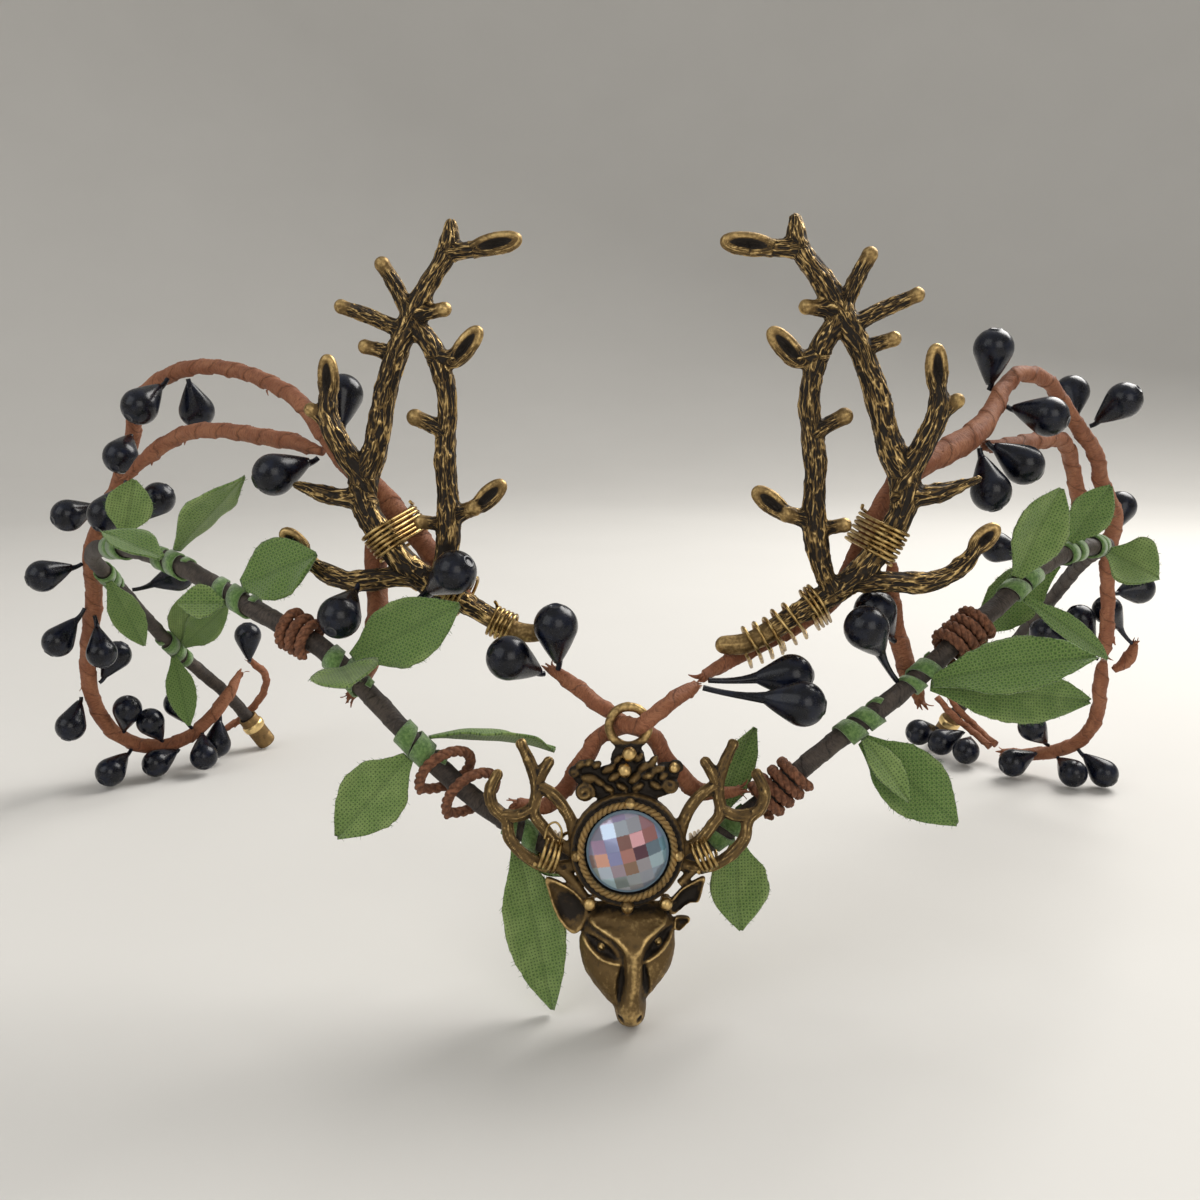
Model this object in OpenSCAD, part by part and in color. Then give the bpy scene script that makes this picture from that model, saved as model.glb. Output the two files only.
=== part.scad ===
// Woodland tiara: a wound stem circlet with cast twig antlers, a deer head with a stone, vines, leaves and berries.
// Millimetres, Z up, front toward minus Y. It rests on the deer's muzzle and on the two ends of the stem.

/* [Stem] */
// Radius of the taped stem
stem_r = 1.4; // [1.2:0.1:1.5]
// Clearance between a winding and what it is wound on
ease = 0.2; // [0.15:0.05:0.3]

/* [Vines] */
// Radius of a vine's torn end
torn_r = 0.6; // [0.4:0.1:0.8]
// Sides of a vine's section
vine_sides = 7; // [6:1:8]

/* [Antlers] */
// Backward slant of the left antler's outer edge
slant_left = 8; // [6:1:10]
// Inward lean of the right antler's top
lean_right = 4; // [3:1:5]
// Wire radius of the antlers' eye tips
eye_r = 0.65; // [0.6:0.05:0.7]

/* [Deer] */
// Backward lean of the hanging deer
deer_lean = 8.5; // [7:0.5:9]
// Radius of the round stone
stone_r = 5.4; // [5:0.1:5.4]

/* [Berries] */
// Radius of a berry's head
berry_r = 3; // [2.6:0.1:3.1]
// Radius of a berry's stalk
stalk_r = 0.45; // [0.35:0.05:0.5]

/* [Leaves] */
// Thickness of the leaf cloth
cloth = 1; // [0.9:0.05:1.1]
// Outer radius of the tape that binds a leaf to the stem
tape_r = 2.35; // [2.2:0.05:2.4]

/* [Lashings] */
// Radius of the brass wire
wire_r = 0.25; // [0.2:0.05:0.3]
// Radius of the brown cord wound round the stem
cord_r = 0.8; // [0.7:0.05:0.9]

/* [Hidden] */
home = [4.8, -61, 0];
bronze = [0.48, 0.38, 0.25];
brass = [0.72, 0.58, 0.32];
bark_brown = [0.36, 0.24, 0.16];
paper = [0.45, 0.27, 0.18];
leaf_green = [0.25, 0.38, 0.22];
berry_black = [0.08, 0.09, 0.14];

// The stem from its left end round the brow to its right end.
// x, y, z, radius
stem_route = [
    [-83.5, 121, 3.3, stem_r], [-86.5, 118.5, 9.3, stem_r], [-89, 114.5, 15, stem_r], [-92, 109, 21, stem_r],
    [-95, 101, 28.5, stem_r], [-97, 93, 36, stem_r], [-98, 84, 43.5, stem_r], [-97.5, 75, 49, stem_r],
    [-96, 67, 52.5, stem_r], [-93, 60, 54.5, stem_r], [-89.5, 52.5, 56.5, stem_r], [-85, 45.5, 57.5, stem_r],
    [-79, 39, 58.5, stem_r], [-73, 33, 58.5, stem_r], [-67.5, 29, 57.5, stem_r], [-62, 25, 56, stem_r],
    [-56, 21.5, 53.5, stem_r], [-49, 18, 50.5, stem_r], [-42.5, 15.5, 47.5, stem_r], [-35.5, 13, 41.5, stem_r],
    [-28.5, 11, 34.5, stem_r], [-21.5, 10, 28, stem_r], [-14, 9, 23, stem_r], [-6.5, 8, 19.5, stem_r],
    [0, 8, 18, stem_r], [7, 8, 19.5, stem_r], [14, 9, 23.5, stem_r], [21, 10, 29, stem_r],
    [28, 11.5, 34.5, stem_r], [35, 13.5, 39, stem_r], [41.5, 16, 43.5, stem_r], [48, 19, 48.5, stem_r],
    [54, 22, 52.5, stem_r], [60, 26, 56.5, stem_r], [67, 32, 58.5, stem_r], [74, 40, 58.5, stem_r],
    [80, 49, 57.5, stem_r], [85, 59, 56, stem_r], [88, 69, 54, stem_r], [89.5, 79, 50.5, stem_r],
    [90, 88, 45, stem_r], [89.5, 96, 38.5, stem_r], [88, 104, 31, stem_r], [86, 111, 23, stem_r],
    [83, 117.5, 15, stem_r], [80, 121.5, 8.3, stem_r], [78, 123.5, 3.3, stem_r]];

// Half an antler finding, drawn outward and up from the tip of its rod.
// outward, forward, up, radius
rod_row = [[0, 0, 0, 1.3], [3, 0, 0, 1.5], [6.5, 0, 1.5, 1.5], [10, 0, 3.5, 1.4], [16.5, 0, 7, 1.5],
    [20, 0.5, 10, 1.5], [24.5, 0.5, 16, 1.5], [25.5, 0, 20.5, 1.7], [23.5, 0, 26, 1.4], [21.5, 0.5, 34, 1.3],
    [19.5, 0.5, 39.5, 1.3], [17.5, 0, 43.5, 1.5], [15.5, 0, 47.5, 1.2], [12.5, 0, 52, 1.2], [12, 0, 55.5, 0.8]];
fork_row = [[14.5, 0, 38, 1.1], [12, 0, 38, 0.9]];
inner_row = [[15, 0, 7, 1], [13.5, 0.5, 11, 1.3], [13, 0.5, 17, 1.3], [13.5, 0, 24.5, 1.2], [13, 0, 32, 1.2],
    [14.5, 0, 38.5, 1.2], [17.5, 0, 43, 1.1]];
outer_row = [[25, 0, 20.5, 1.2], [28, 0.5, 25.5, 1.3], [30, 0.5, 30, 1.2], [30, 0, 34, 0.9]];
low_row = [[17.5, 0, 7.5, 1.1], [21.5, 0.5, 7.5, 1.2], [28, 1, 7, 1.2], [33, 0.5, 9, 1], [35, 0, 11.5, 0.9]];
side_row = [[25, 0, 18.5, 1], [30, 0.5, 19, 1.1], [35, 1, 20.5, 0.5]];
crown_row = [[12.5, 0, 52, 1], [8.5, 0, 52.3, 1]];
// from outward, from up, to outward, to up, radius at the start, radius at the end
twig_tips = [[17.5, 43, 21.5, 50.5, 1.2, 0.7], [18.5, 41.5, 27.5, 46, 1.2, 0.6], [20, 38.5, 24.5, 41, 1.1, 0.6],
    [16.5, 44, 13, 44.5, 1.1, 1.1], [13.5, 28, 17.5, 31, 1, 1.1], [13, 15, 17, 15.5, 1, 0.9],
    [13, 16, 6.5, 19.5, 1.1, 0.6], [29, 28, 32.5, 32, 1, 0.9]];
eye_half = 1.1;
// middle outward, middle up, turn from upright, length
eye_tips = [[5.8, 53, 100, 7.5], [10.3, 39.5, -40, 7.2], [30, 35.3, 0, 7], [36, 12.3, 50, 5.5]];

function unit(v) = v / norm(v);
function spot(p) = [p.x, p.y, p.z];
function near(p, i) = p[max(0, min(i, len(p) - 1))];
function curve_at(p, i, t) = let (a = near(p, i - 1), b = p[i], c = near(p, i + 1), d = near(p, i + 2))
    0.5 * (2 * b + (c - a) * t + (2 * a - 5 * b + 4 * c - d) * t * t + (3 * b - a - 3 * c + d) * t * t * t);
function smooth(p, n = 2) =
    [each [for (i = [0 : len(p) - 2]) for (k = [0 : n - 1]) curve_at(p, i, k / n)], p[len(p) - 1]];
function tangents(p) = [for (i = [0 : len(p) - 1]) unit(spot(near(p, i + 1)) - spot(near(p, i - 1)))];
function square_to(v, t) = unit(v - (v * t) * t);
function first_side(t) = square_to(abs(t.z) < 0.9 ? [0, 0, 1] : [1, 0, 0], t);
function carry(t, s, i = 0) =
    i >= len(t) ? [] : let (q = square_to(s, t[i])) concat([q], carry(t, q, i + 1));
function ring(p, t, s, n, k = 0) =
    [for (a = [0 : n - 1]) spot(p) + (p[3] + k) * (cos(360 * a / n) * s + sin(360 * a / n) * cross(t, s))];
function sweep_rings(p, n, k = 0) = let (t = tangents(p), s = carry(t, first_side(t[0])))
    [for (i = [0 : len(p) - 1]) ring(p[i], t[i], s[i], n, k)];
function band(m, n, from, to) = [for (a = [0 : n - 1]) let (b = (a + 1) % n)
    each [[from + a, to + a, to + b], [from + a, to + b, from + b]]];

// A closed skin over a row of rings that run the same way round.
module skin(rings) {
    n = len(rings[0]);
    m = len(rings);
    first = [for (a = [0 : n - 1]) a];
    last = [for (a = [n - 1 : -1 : 0]) (m - 1) * n + a];
    polyhedron([for (r = rings) each r],
        concat([first, last], [for (i = [0 : m - 2]) each band(m, n, i * n, (i + 1) * n)]));
}

// A skin whose last ring meets its first.
module loop_skin(rings) {
    n = len(rings[0]);
    m = len(rings);
    polyhedron([for (r = rings) each r], [for (i = [0 : m - 1]) each band(m, n, i * n, ((i + 1) % m) * n)]);
}

// A hollow sleeve between an inner and an outer row of rings.
module sleeve_skin(outer, inner) {
    n = len(outer[0]);
    m = len(outer);
    far = m * n;
    ends = [for (a = [0 : n - 1]) let (b = (a + 1) % n, e = (m - 1) * n)
        each [[a, b, far + b], [a, far + b, far + a], [e + b, e + a, far + e + a], [e + b, far + e + a, far + e + b]]];
    polyhedron(concat([for (r = outer) each r], [for (r = inner) each r]),
        concat(ends, [for (i = [0 : m - 2]) each band(m, n, i * n, (i + 1) * n)],
            [for (i = [0 : m - 2]) each band(m, n, far + (i + 1) * n, far + i * n)]));
}

module tube(route, sides = vine_sides, n = 2) {
    skin(sweep_rings(smooth(route, n), sides));
}

stem_sides = 7;
stem_line = smooth(stem_route);
stem_along = tangents(stem_line);
stem_side = carry(stem_along, first_side(stem_along[0]));
function closest(p, i = 0, best = 0) = i >= len(stem_line) ? best
    : closest(p, i + 1, norm(spot(stem_line[i]) - p) < norm(spot(stem_line[best]) - p) ? i : best);

function stem_ring(i, f, k) = ring((1 - f) * stem_line[i] + f * near(stem_line, i + 1), stem_along[i],
    stem_side[i], stem_sides, k);

// Tape wound round the stem, by the place that it is nearest to and half its length.
module tape(at, half = 2.6) {
    c = closest(at);
    places = [[c - 1, 1 - half / norm(spot(stem_line[c]) - spot(stem_line[c - 1]))], [c, 0],
        [c, half / norm(spot(stem_line[c + 1]) - spot(stem_line[c]))]];
    sleeve_skin([for (q = places) stem_ring(q[0], q[1], tape_r - stem_r)],
        [for (q = places) stem_ring(q[0], q[1], ease)]);
}

// along, half width, dip of the middle, thickness
leaf_rows = [[0, 0.2, 0.03, 0.4], [0.14, 0.45, 0.1, 1], [0.34, 0.92, 0.2, 1], [0.58, 1, 0.22, 1],
    [0.8, 0.65, 0.15, 1], [1, 0.08, 0.03, 0.6]];
function leaf_ring(row, from, go, face, width, bend) =
    let (r = row[0], c = from + r * go + 4 * bend * r * (1 - r) * face,
        t = unit(go + 4 * bend * (1 - 2 * r) * face), n = square_to(face, t), s = cross(n, t),
        h = max(row[1] * width / 2, 0.35), th = row[3] * cloth / 2, dip = row[2] * width / 2)
    [c + h * s - th * n, c + h * s + th * n, c - (dip - th) * n, c - h * s + th * n, c - h * s - th * n,
        c - (dip + th) * n];

// A cupped leaf from the tape at its foot to its tip.
// foot on the stem, tip, facing, width, bend
module leaf(foot, tip, face, width, bend = 1) {
    c = closest(foot);
    centre = spot(stem_line[c]);
    out = square_to(tip - centre, stem_along[c]);
    from = centre + (stem_r + ease + tape_r) / 2 * out;
    go = tip - from;
    square_face = square_to(face, unit(go));
    skin([for (row = leaf_rows) leaf_ring(row, from, go, square_face, width, bend)]);
}

// A round cord's turns round the stem between two places.
module turns(at, count, reach = stem_r + ease + cord_r, tilt = 6) {
    c = closest(at);
    t = stem_along[c];
    pitch = 2 * cord_r + 0.15;
    for (k = [0 : count - 1])
        translate(spot(stem_line[c]) + (k - (count - 1) / 2) * pitch * t)
            rotate([0, acos(t.z), atan2(t.y, t.x)]) rotate([tilt, 0, 0])
                rotate_extrude($fn = 48) translate([reach, 0]) circle(r = cord_r, $fn = 16);
}

// Distance from the point of a berry to the middle of its head.
pip = 6;
// A berry with its stalk's end at the foot and its head centred on the given place.
module berry(foot, head) {
    reach = max(norm(head - foot), pip);
    d = unit(head - foot);
    low = asin(berry_r / pip) * 0.9;
    translate(head - reach * d) rotate([0, acos(d.z), atan2(d.y, d.x)])
        rotate_extrude($fn = 48) {
            polygon([[0, 0], [stalk_r, 0], [stalk_r, reach - pip + 0.8],
                [berry_r * cos(low), reach - berry_r * sin(low)], [0, reach]]);
            intersection() {
                translate([0, reach]) circle(r = berry_r, $fn = 48);
                translate([0, reach - berry_r]) square([berry_r, 2 * berry_r]);
            }
        }
}

module berries(rows) {
    color(berry_black) translate(home) for (row = rows) berry(row[0], row[1]);
}

module stem() {
    color(bark_brown) translate(home) skin(sweep_rings(stem_line, stem_sides));
}

// A bronze cap over the end of the stem, by its closed end and the direction that it opens.
module ferrule(end, toward) {
    d = unit(toward - end);
    color(bronze) translate(home) translate(end) rotate([0, acos(d.z), atan2(d.y, d.x)])
        rotate_extrude($fn = 48)
            polygon([[0, 0], [1.7, 0], [2.2, 0.5], [2.2, 5], [2.5, 5.4], [2.5, 6.4], [2.2, 6.8], [2.2, 8.5],
                [stem_r + ease, 8.5], [stem_r + ease, 1.5], [0, 1.5]]);
}
module ferrule_left() {
    ferrule([-82.4, 121.9, 1.1], [-86.5, 118.5, 9.3]);
}
module ferrule_right() {
    ferrule([77.1, 124.4, 1.05], [80, 121.5, 8.3]);
}

module branch(rows) {
    tube([for (r = rows) [r.x, -r.y, r.z, r[3]]], 7, 1);
}

// An oval eye of wire, pierced from front to back.
module eye(middle, turn, length) {
    n = 10;
    half = length / 2 - eye_r;
    rings = [for (i = [0 : n - 1]) let (a = 360 * i / n, p = [eye_half * cos(a), 0, half * sin(a)],
        t = unit([-eye_half * sin(a), 0, half * cos(a)]))
        ring([p.x, p.y, p.z, eye_r], t, [0, 1, 0], 5)];
    translate(middle) rotate([0, turn, 0]) loop_skin(rings);
}

module antler() {
    for (rows = [rod_row, inner_row, fork_row, outer_row, low_row, side_row, crown_row]) branch(rows);
    for (r = twig_tips) hull() {
        translate([r[0], 0, r[1]]) sphere(r[4], $fn = 6);
        translate([r[2], -0.5, r[3]]) sphere(r[5], $fn = 6);
    }
    for (e = eye_tips) eye([e[0], 0, e[1]], e[2], e[3]);
}
module on_left() {
    translate(home) translate([-11.8, 18, 49.1]) rotate([0, 0, -slant_left]) mirror([1, 0, 0]) children();
}
module on_right() {
    translate(home) translate([13.5, 14, 48.2]) rotate([0, -lean_right, 0]) children();
}
module antler_left() {
    color(bronze) on_left() antler();
}
module antler_right() {
    color(bronze) on_right() antler();
}

// Turns a shape drawn upright so that its Z runs along a direction and its X leans toward another.
module aim(at, along, toward) {
    z = unit(along);
    x = square_to(toward, z);
    y = cross(z, x);
    multmatrix([[x.x, y.x, z.x, at.x], [x.y, y.y, z.y, at.y], [x.z, y.z, z.z, at.z], [0, 0, 0, 1]]) children();
}

// One closed turn of wire round two rods that lie a span apart.
module oval_turn(span, reach, wire) {
    for (end = [0, 1]) translate([end * span, 0, 0]) rotate([0, 0, 90 - 180 * end])
        rotate_extrude(angle = 180, $fn = 48) translate([reach, 0]) circle(r = wire, $fn = 16);
    for (s = [-1, 1]) translate([0, s * reach, 0]) rotate([0, 90, 0]) cylinder(h = span, r = wire, $fn = 16);
}

// Turns of brass wire round two rods, by a point on each and the direction that they share.
module lashing(a, b, along, count, reach, pitch = 2 * wire_r + 0.15) {
    step = unit(along);
    flat = (b - a) - ((b - a) * step) * step;
    for (k = [0 : count - 1])
        aim(a + (k - (count - 1) / 2) * pitch * step, step, flat)
            oval_turn(norm(flat), reach + ease + wire_r, wire_r);
}

module lashing_antler_left() {
    color(brass) on_left() {
        lashing([22.4, -0.5, 13], [20, 4.3, 13.8], [4.5, 0, 6], 6, 1.75);
        lashing([12.6, 0, 5], [12.6, 3.4, 5.8], [6.5, 0, 3.5], 4, 1.7);
        lashing([5.8, 0, 1.05], [5.8, 0.1, 1.05], [3.5, 0, 1.4], 5, 1.6);
    }
}
module lashing_antler_right() {
    color(brass) on_right() {
        lashing([22.4, -0.5, 13], [20.9, 4, 13], [4, 0, 6.3], 7, 1.65);
        lashing([12.6, 0, 5.1], [12.6, 3.4, 2.7], [6.5, 0, 3.5], 3, 1.65);
        lashing([8.8, 0, 2.9], [8.8, 3.3, 0.4], [6.5, 0, 3.1], 2, 1.7, 1.7);
        lashing([5.2, 0, 0.8], [5.2, 3, -1.3], [3.5, 0, 1.2], 3, 1.7, 1.6);
    }
}
module lashing_deer() {
    color(brass) translate(home) for (s = [-1, 1])
        lashing([s * 10.2, 3.2, 22.2], [s * 10.2, 8.5, 21.1], [1, 0, s * 0.4], 4, 1.6);
}

module vine(route, r) {
    last = len(route) - 1;
    color(paper) translate(home) tube([for (i = [0 : last]) let (p = route[i])
        [p.x, p.y, p.z, i == 0 || i == last ? torn_r : r == 0 ? p[3] : r]]);
}
module vine_brow() {
    vine([[-10.5, 12.5, 45.2], [-7.5, 10.5, 43.7], [-4.5, 9.2, 41.6], [-2, 8.3, 40], [0.2, 5.8, 39.1], [2.4, 3.5, 40.2],
        [5, 3.8, 42.4], [7.6, 5.5, 43.7], [9, 6.8, 44.2]], 1);
}
module vine_hanger() {
    vine([[-15, 8.5, 27.2], [-11, 9.5, 26.7], [-8.5, 9.5, 29], [-5.5, 8.5, 34], [-3.5, 8.9, 36.7], [0, 9.4, 38],
        [3.5, 8.7, 36.7], [5.5, 8, 33.5], [10, 8.5, 29], [15.5, 9, 29]], 1.1);
}
module vine_left() {
    vine([[-22, 22.5, 52.5, 1.5], [-25.5, 23.5, 56.5, 1.6], [-28.5, 24.5, 60, 1.6], [-31.5, 25, 63.5, 1.6],
        [-35.5, 25.5, 68, 1.7], [-39, 25, 72, 1.8], [-42, 25.5, 75.5, 1.6], [-47.5, 30, 81, 1.2],
        [-53, 36, 83.7, 1.2], [-60, 44, 85.7, 1.2], [-68, 52, 86.8, 1.2], [-75, 58, 86.2, 1.3], [-81, 62, 84, 1.3],
        [-85.5, 66, 80.5, 1.3], [-88.5, 70, 75, 1.4], [-91, 72, 69.5, 1.4], [-96.5, 75.5, 60.5, 1.5],
        [-101, 78, 53, 1.6], [-104, 84, 42.5, 1.6], [-107.5, 88, 33, 1.6], [-110, 92, 24, 1.5],
        [-110.5, 96, 16.5, 1.5], [-108.5, 99, 10.5, 1.5], [-104, 101, 7, 1.5], [-99.5, 104, 6, 1.5],
        [-95, 106.5, 7.5, 1.4], [-91, 108, 11, 1.4], [-87, 110, 16, 1.3], [-85, 113, 20.5, 1.2]], 0);
}
module spur_left() {
    vine([[-43.9, 26.6, 74], [-48.5, 30, 75.3], [-53.5, 34, 75.8], [-61, 41, 76.5], [-68.5, 47, 76.5],
        [-74.5, 52, 75], [-80, 55, 72], [-84.5, 57, 68.5]], 1.2);
}
module strut_left() {
    vine([[-35.9, 26, 64.6], [-36.5, 25.6, 59], [-36, 23.8, 53.5], [-36, 20.8, 48], [-37, 18.5, 43.5],
        [-39, 17, 40]], 1.5);
}
module tie_left() {
    vine([[-84, 116.5, 22.5], [-81.5, 120, 18], [-83.3, 122.3, 12.5], [-88, 122, 7.3], [-92, 119, 4.9]], 0.8);
}
module vine_right() {
    vine([[10.2, 10, 44.5, 1], [13, 14, 45.2, 1], [17, 16.5, 46.5, 1], [20.5, 17.3, 48.3, 1.1],
        [25, 17.3, 51, 1.2], [29.5, 17.6, 54.5, 1.3], [32, 18, 59.5, 1.3], [34.5, 18, 65, 1.3],
        [37, 19.5, 69, 1.4], [40.5, 21.5, 71.8, 1.6], [46, 25.5, 74, 1.8], [51.5, 30, 76.5, 1.8],
        [55.5, 35, 79.5, 1.5], [58.5, 39, 83, 1.3], [62, 42, 85.5, 1.2], [68.5, 48, 84.5, 1.2],
        [72.5, 52, 81.5, 1.2], [77.5, 56, 76.7, 1.3], [82.5, 60, 72, 1.3], [85.5, 64, 67, 1.3],
        [90.5, 69, 60.5, 1.4], [92, 73, 55.5, 1.4], [93, 76, 50.5, 1.3], [95.5, 80, 42.5, 1.3],
        [97.5, 84, 34, 1.3], [99, 87.5, 30, 1.3]], 0);
}
module spur_right() {
    vine([[53.4, 31.2, 74.7], [60, 38, 74.5], [67.5, 46, 75], [73.5, 53, 74.8], [77.5, 59, 72], [80, 62.5, 68],
        [83, 66, 62.5], [85.5, 68, 58]], 1.3);
}
module fork_right() {
    vine([[106, 90, 32], [105.2, 90.3, 28.8], [102.5, 90.6, 26.2]], 1.3);
}
module tail_right() {
    vine([[99.3, 88.6, 28.7], [100.1, 90.8, 25.5], [100.9, 92.8, 21], [102, 95.5, 15.5], [100.5, 97.5, 10], [96.5, 99.5, 6.5],
        [91.5, 103, 4.3], [86.5, 107.5, 3.5]], 1.4);
}
module tie_right() {
    vine([[86, 110, 4.3], [83.5, 114, 6.5], [79.5, 117.8, 10.5], [77, 119.5, 14.5]], 0.7);
    vine([[84.5, 109.5, 4], [81.5, 113.5, 6.5], [77.8, 117, 9.5], [75, 119.5, 13]], 0.7);
}
module strut_right() {
    vine([[37.5, 19, 59], [37.5, 19, 54], [38.5, 19.8, 49.5], [40, 20.5, 45.5], [41.5, 20.5, 41.5],
        [42.5, 19, 38.5]], 1.3);
}

module cord_front_left() {
    color(paper) translate(home) for (at = [[-25, 10.5, 31.2], [-21.5, 10, 28]]) turns(at, 1, 4.1, 40);
}
module cord_front_right() {
    color(paper) translate(home) turns([21, 10, 29], 4);
}
module cord_side_left() {
    color(paper) translate(home) turns([-46, 16.8, 49], 3);
}
module cord_side_right() {
    color(paper) translate(home) turns([48, 19, 48.5], 4);
}

module leaves_brow() {
    color(leaf_green) translate(home) {
        tape([-14, 9, 23], 2.2);
        leaf([-13, 8.8, 22], [-10, 1.5, 0.8], [0, -1, 0.3], 8, 0.5);
        leaf([-13.5, 9, 22.5], [-7.5, 13, 15], [0.3, -1, 0.4], 5, -0.5);
    }
}
module leaves_front_left() {
    color(leaf_green) translate(home) {
        tape([-28.5, 11, 34.5]);
        leaf([-28.5, 11, 34.5], [-39, 6, 23.5], [0, -1, 0.3], 9, 1);
        leaf([-28.5, 11, 34.5], [-10, 16, 32.5], [0, 0.2, 1], 7, 1.5);
    }
}
module leaves_antler_left() {
    color(leaf_green) translate(home) {
        tape([-38.5, 14.2, 44.5]);
        leaf([-38.5, 14.2, 44.5], [-22.5, 10.6, 54.4], [0.3, -1, 0.2], 9, 0.5);
        leaf([-38.5, 14.2, 44.5], [-36, 5, 45], [0.1, -0.6, 0.8], 9, 1);
    }
}
module leaves_side_left() {
    color(leaf_green) translate(home) {
        tape([-56, 21.5, 53.5]);
        leaf([-56, 21.5, 53.5], [-43.5, 19.5, 60], [0, -1, 0.5], 9, 1);
        leaf([-56, 21.5, 53.5], [-63, 18.2, 53.3], [0, -0.8, 0.6], 5, 0.5);
    }
}
module leaves_turn_left() {
    color(leaf_green) translate(home) {
        tape([-67.5, 29, 57.5]);
        leaf([-67.5, 29, 57.5], [-55.5, 27, 70.5], [-0.6, 0.5, 0.7], 7, 1);
        leaf([-67.5, 29, 57.5], [-78, 30, 62], [0, -0.4, 1], 6, 0.8);
    }
}
module leaf_upright_left() {
    color(leaf_green) translate(home) {
        tape([-80, 40, 58.3]);
        leaf([-80, 40, 58.3], [-77.5, 42, 69], [0.3, -1, 0], 7, 0.5);
    }
}
module leaf_hanging_left() {
    color(leaf_green) translate(home) {
        tape([-97.5, 77, 48]);
        leaf([-97.5, 77, 48], [-93.5, 81, 33.5], [0.4, -1, 0], 6, 0.5);
    }
}
module leaves_rear_left() {
    color(leaf_green) translate(home) {
        tape([-95, 101, 28.5], 3.5);
        leaf([-95, 101, 28.5], [-81.5, 96, 39], [0.3, -1, 0.3], 7, 0.5);
        leaf([-95, 101, 28.5], [-90.5, 96, 41], [0.2, -1, 0.2], 6, 0.5);
        leaf([-95, 101, 28.5], [-91.5, 97, 12.5], [0.2, -1, 0.2], 6, 0.5);
    }
}
module leaves_stone_right() {
    color(leaf_green) translate(home) {
        tape([14, 9, 23.5], 2.2);
        leaf([13.2, 8.8, 22.6], [15.5, 5, 10.5], [0.2, -1, 0.2], 8, 0.5);
        leaf([13.5, 9, 23], [18.3, 15.3, 36], [0, -1, 0], 5, -1);
    }
}
module leaves_front_right() {
    color(leaf_green) translate(home) {
        tape([32.5, 12.8, 37.5]);
        leaf([32.5, 12.8, 37.5], [45.2, 8, 24.5], [0, -1, 0.3], 9, 1);
        leaf([32.5, 12.8, 37.5], [37.8, 6, 28.5], [0, -1, 0.6], 4, 1);
    }
}
module leaves_big_right() {
    color(leaf_green) translate(home) {
        tape([41.5, 16, 43.5], 2.1);
        leaf([41.5, 16, 43.5], [63, 9.5, 47.5], [0, -0.8, 0.6], 8, 2.2);
        leaf([41.5, 16, 43.5], [66, 17.5, 39.3], [0, -1, 0.2], 8, 1.5);
    }
}
module leaves_upright_right() {
    color(leaf_green) translate(home) {
        tape([58, 24.8, 55.3]);
        leaf([58, 24.8, 55.3], [62.5, 24, 69], [0.1, -1, 0], 8, 0.5);
        leaf([58, 24.8, 55.3], [72, 26, 43.5], [0.3, -1, 0.2], 3.5, 1);
    }
}
module leaf_turn_right() {
    color(leaf_green) translate(home) {
        tape([76.5, 43.5, 58.2]);
        leaf([76.5, 43.5, 58.2], [85, 39, 53.5], [0, -1, 0.5], 9, 1);
    }
}
module leaves_low_right() {
    color(leaf_green) translate(home) {
        tape([68.5, 33.7, 58.5]);
        leaf([68.5, 33.7, 58.5], [74, 34, 68.5], [-0.3, -1, 0], 6, 0.5);
        leaf([68.5, 33.7, 58.5], [53.5, 29, 47], [0.3, -1, 0.3], 8, -1);
    }
}

module berries_brow_left() {
    berries([[[-11.2, 11.7, 44.7], [-15.8, 8.5, 47.6]], [[-9.3, 11.1, 45.5], [-9.5, 9.5, 51.8]]]);
}
module berries_antler_left() {
    berries([[[-34.9, 19.8, 49.5], [-23.3, 13, 58.5]], [[-37.8, 19.4, 55.8], [-39.3, 13.5, 52.2]]]);
}
module berries_arch_left() {
    berries([[[-44.4, 26.3, 73.2], [-50, 23, 71]], [[-41.1, 27.3, 76.5], [-41.5, 31, 82.3]]]);
}
module berries_crest_left() {
    berries([[[-77, 57.7, 84.9], [-80, 52.5, 80.3]], [[-73.3, 57.1, 84.9], [-73.3, 60.5, 79.5]]]);
}
module berries_outer_left() {
    berries([[[-87.8, 67.6, 75.2], [-88, 62.8, 71.5]], [[-84.8, 56.8, 67.7], [-87, 52.5, 62.3]],
        [[-96.9, 73.7, 62], [-101, 69, 60.5]]]);
}
module berries_inner_left() {
    berries([[[-95.3, 69, 53.3], [-85.5, 72.5, 63.3]], [[-96.8, 85.2, 44], [-88.5, 88, 46.3]]]);
}
module berries_drop_left() {
    berries([[[-103.2, 78.2, 50.3], [-109, 74, 48.5]], [[-105.6, 83, 40.7], [-110, 80, 34.5]],
        [[-104, 83.6, 39.1], [-102, 81, 32]], [[-108, 92.4, 23.1], [-104.8, 94.5, 28.6]]]);
}
module berries_low_left() {
    berries([[[-112.4, 93.2, 19.9], [-113.5, 89.8, 14.5]], [[-106.3, 98.5, 10.8], [-104.5, 97, 16.2]],
        [[-99.5, 102.2, 7.6], [-100.8, 99.5, 12.7]], [[-94.1, 105.5, 9.5], [-96, 103, 15.8]],
        [[-105.1, 98.9, 6.7], [-107.3, 92.8, 3.6]], [[-96.6, 103.8, 5.2], [-100, 99, 3.5]],
        [[-92, 105.8, 8.3], [-90.5, 101.8, 4.2]]]);
}
module berries_end_left() {
    berries([[[-89.4, 110.3, 11.7], [-90.1, 109.5, 4.6]], [[-83.6, 115.2, 22.3], [-84, 116.5, 28.2]]]);
}
module berries_brow_right() {
    berries([[[10, 6.6, 44], [23, 4.8, 42.3]], [[11, 9.1, 44.4], [22.5, 11.2, 44.5]]]);
}
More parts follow.
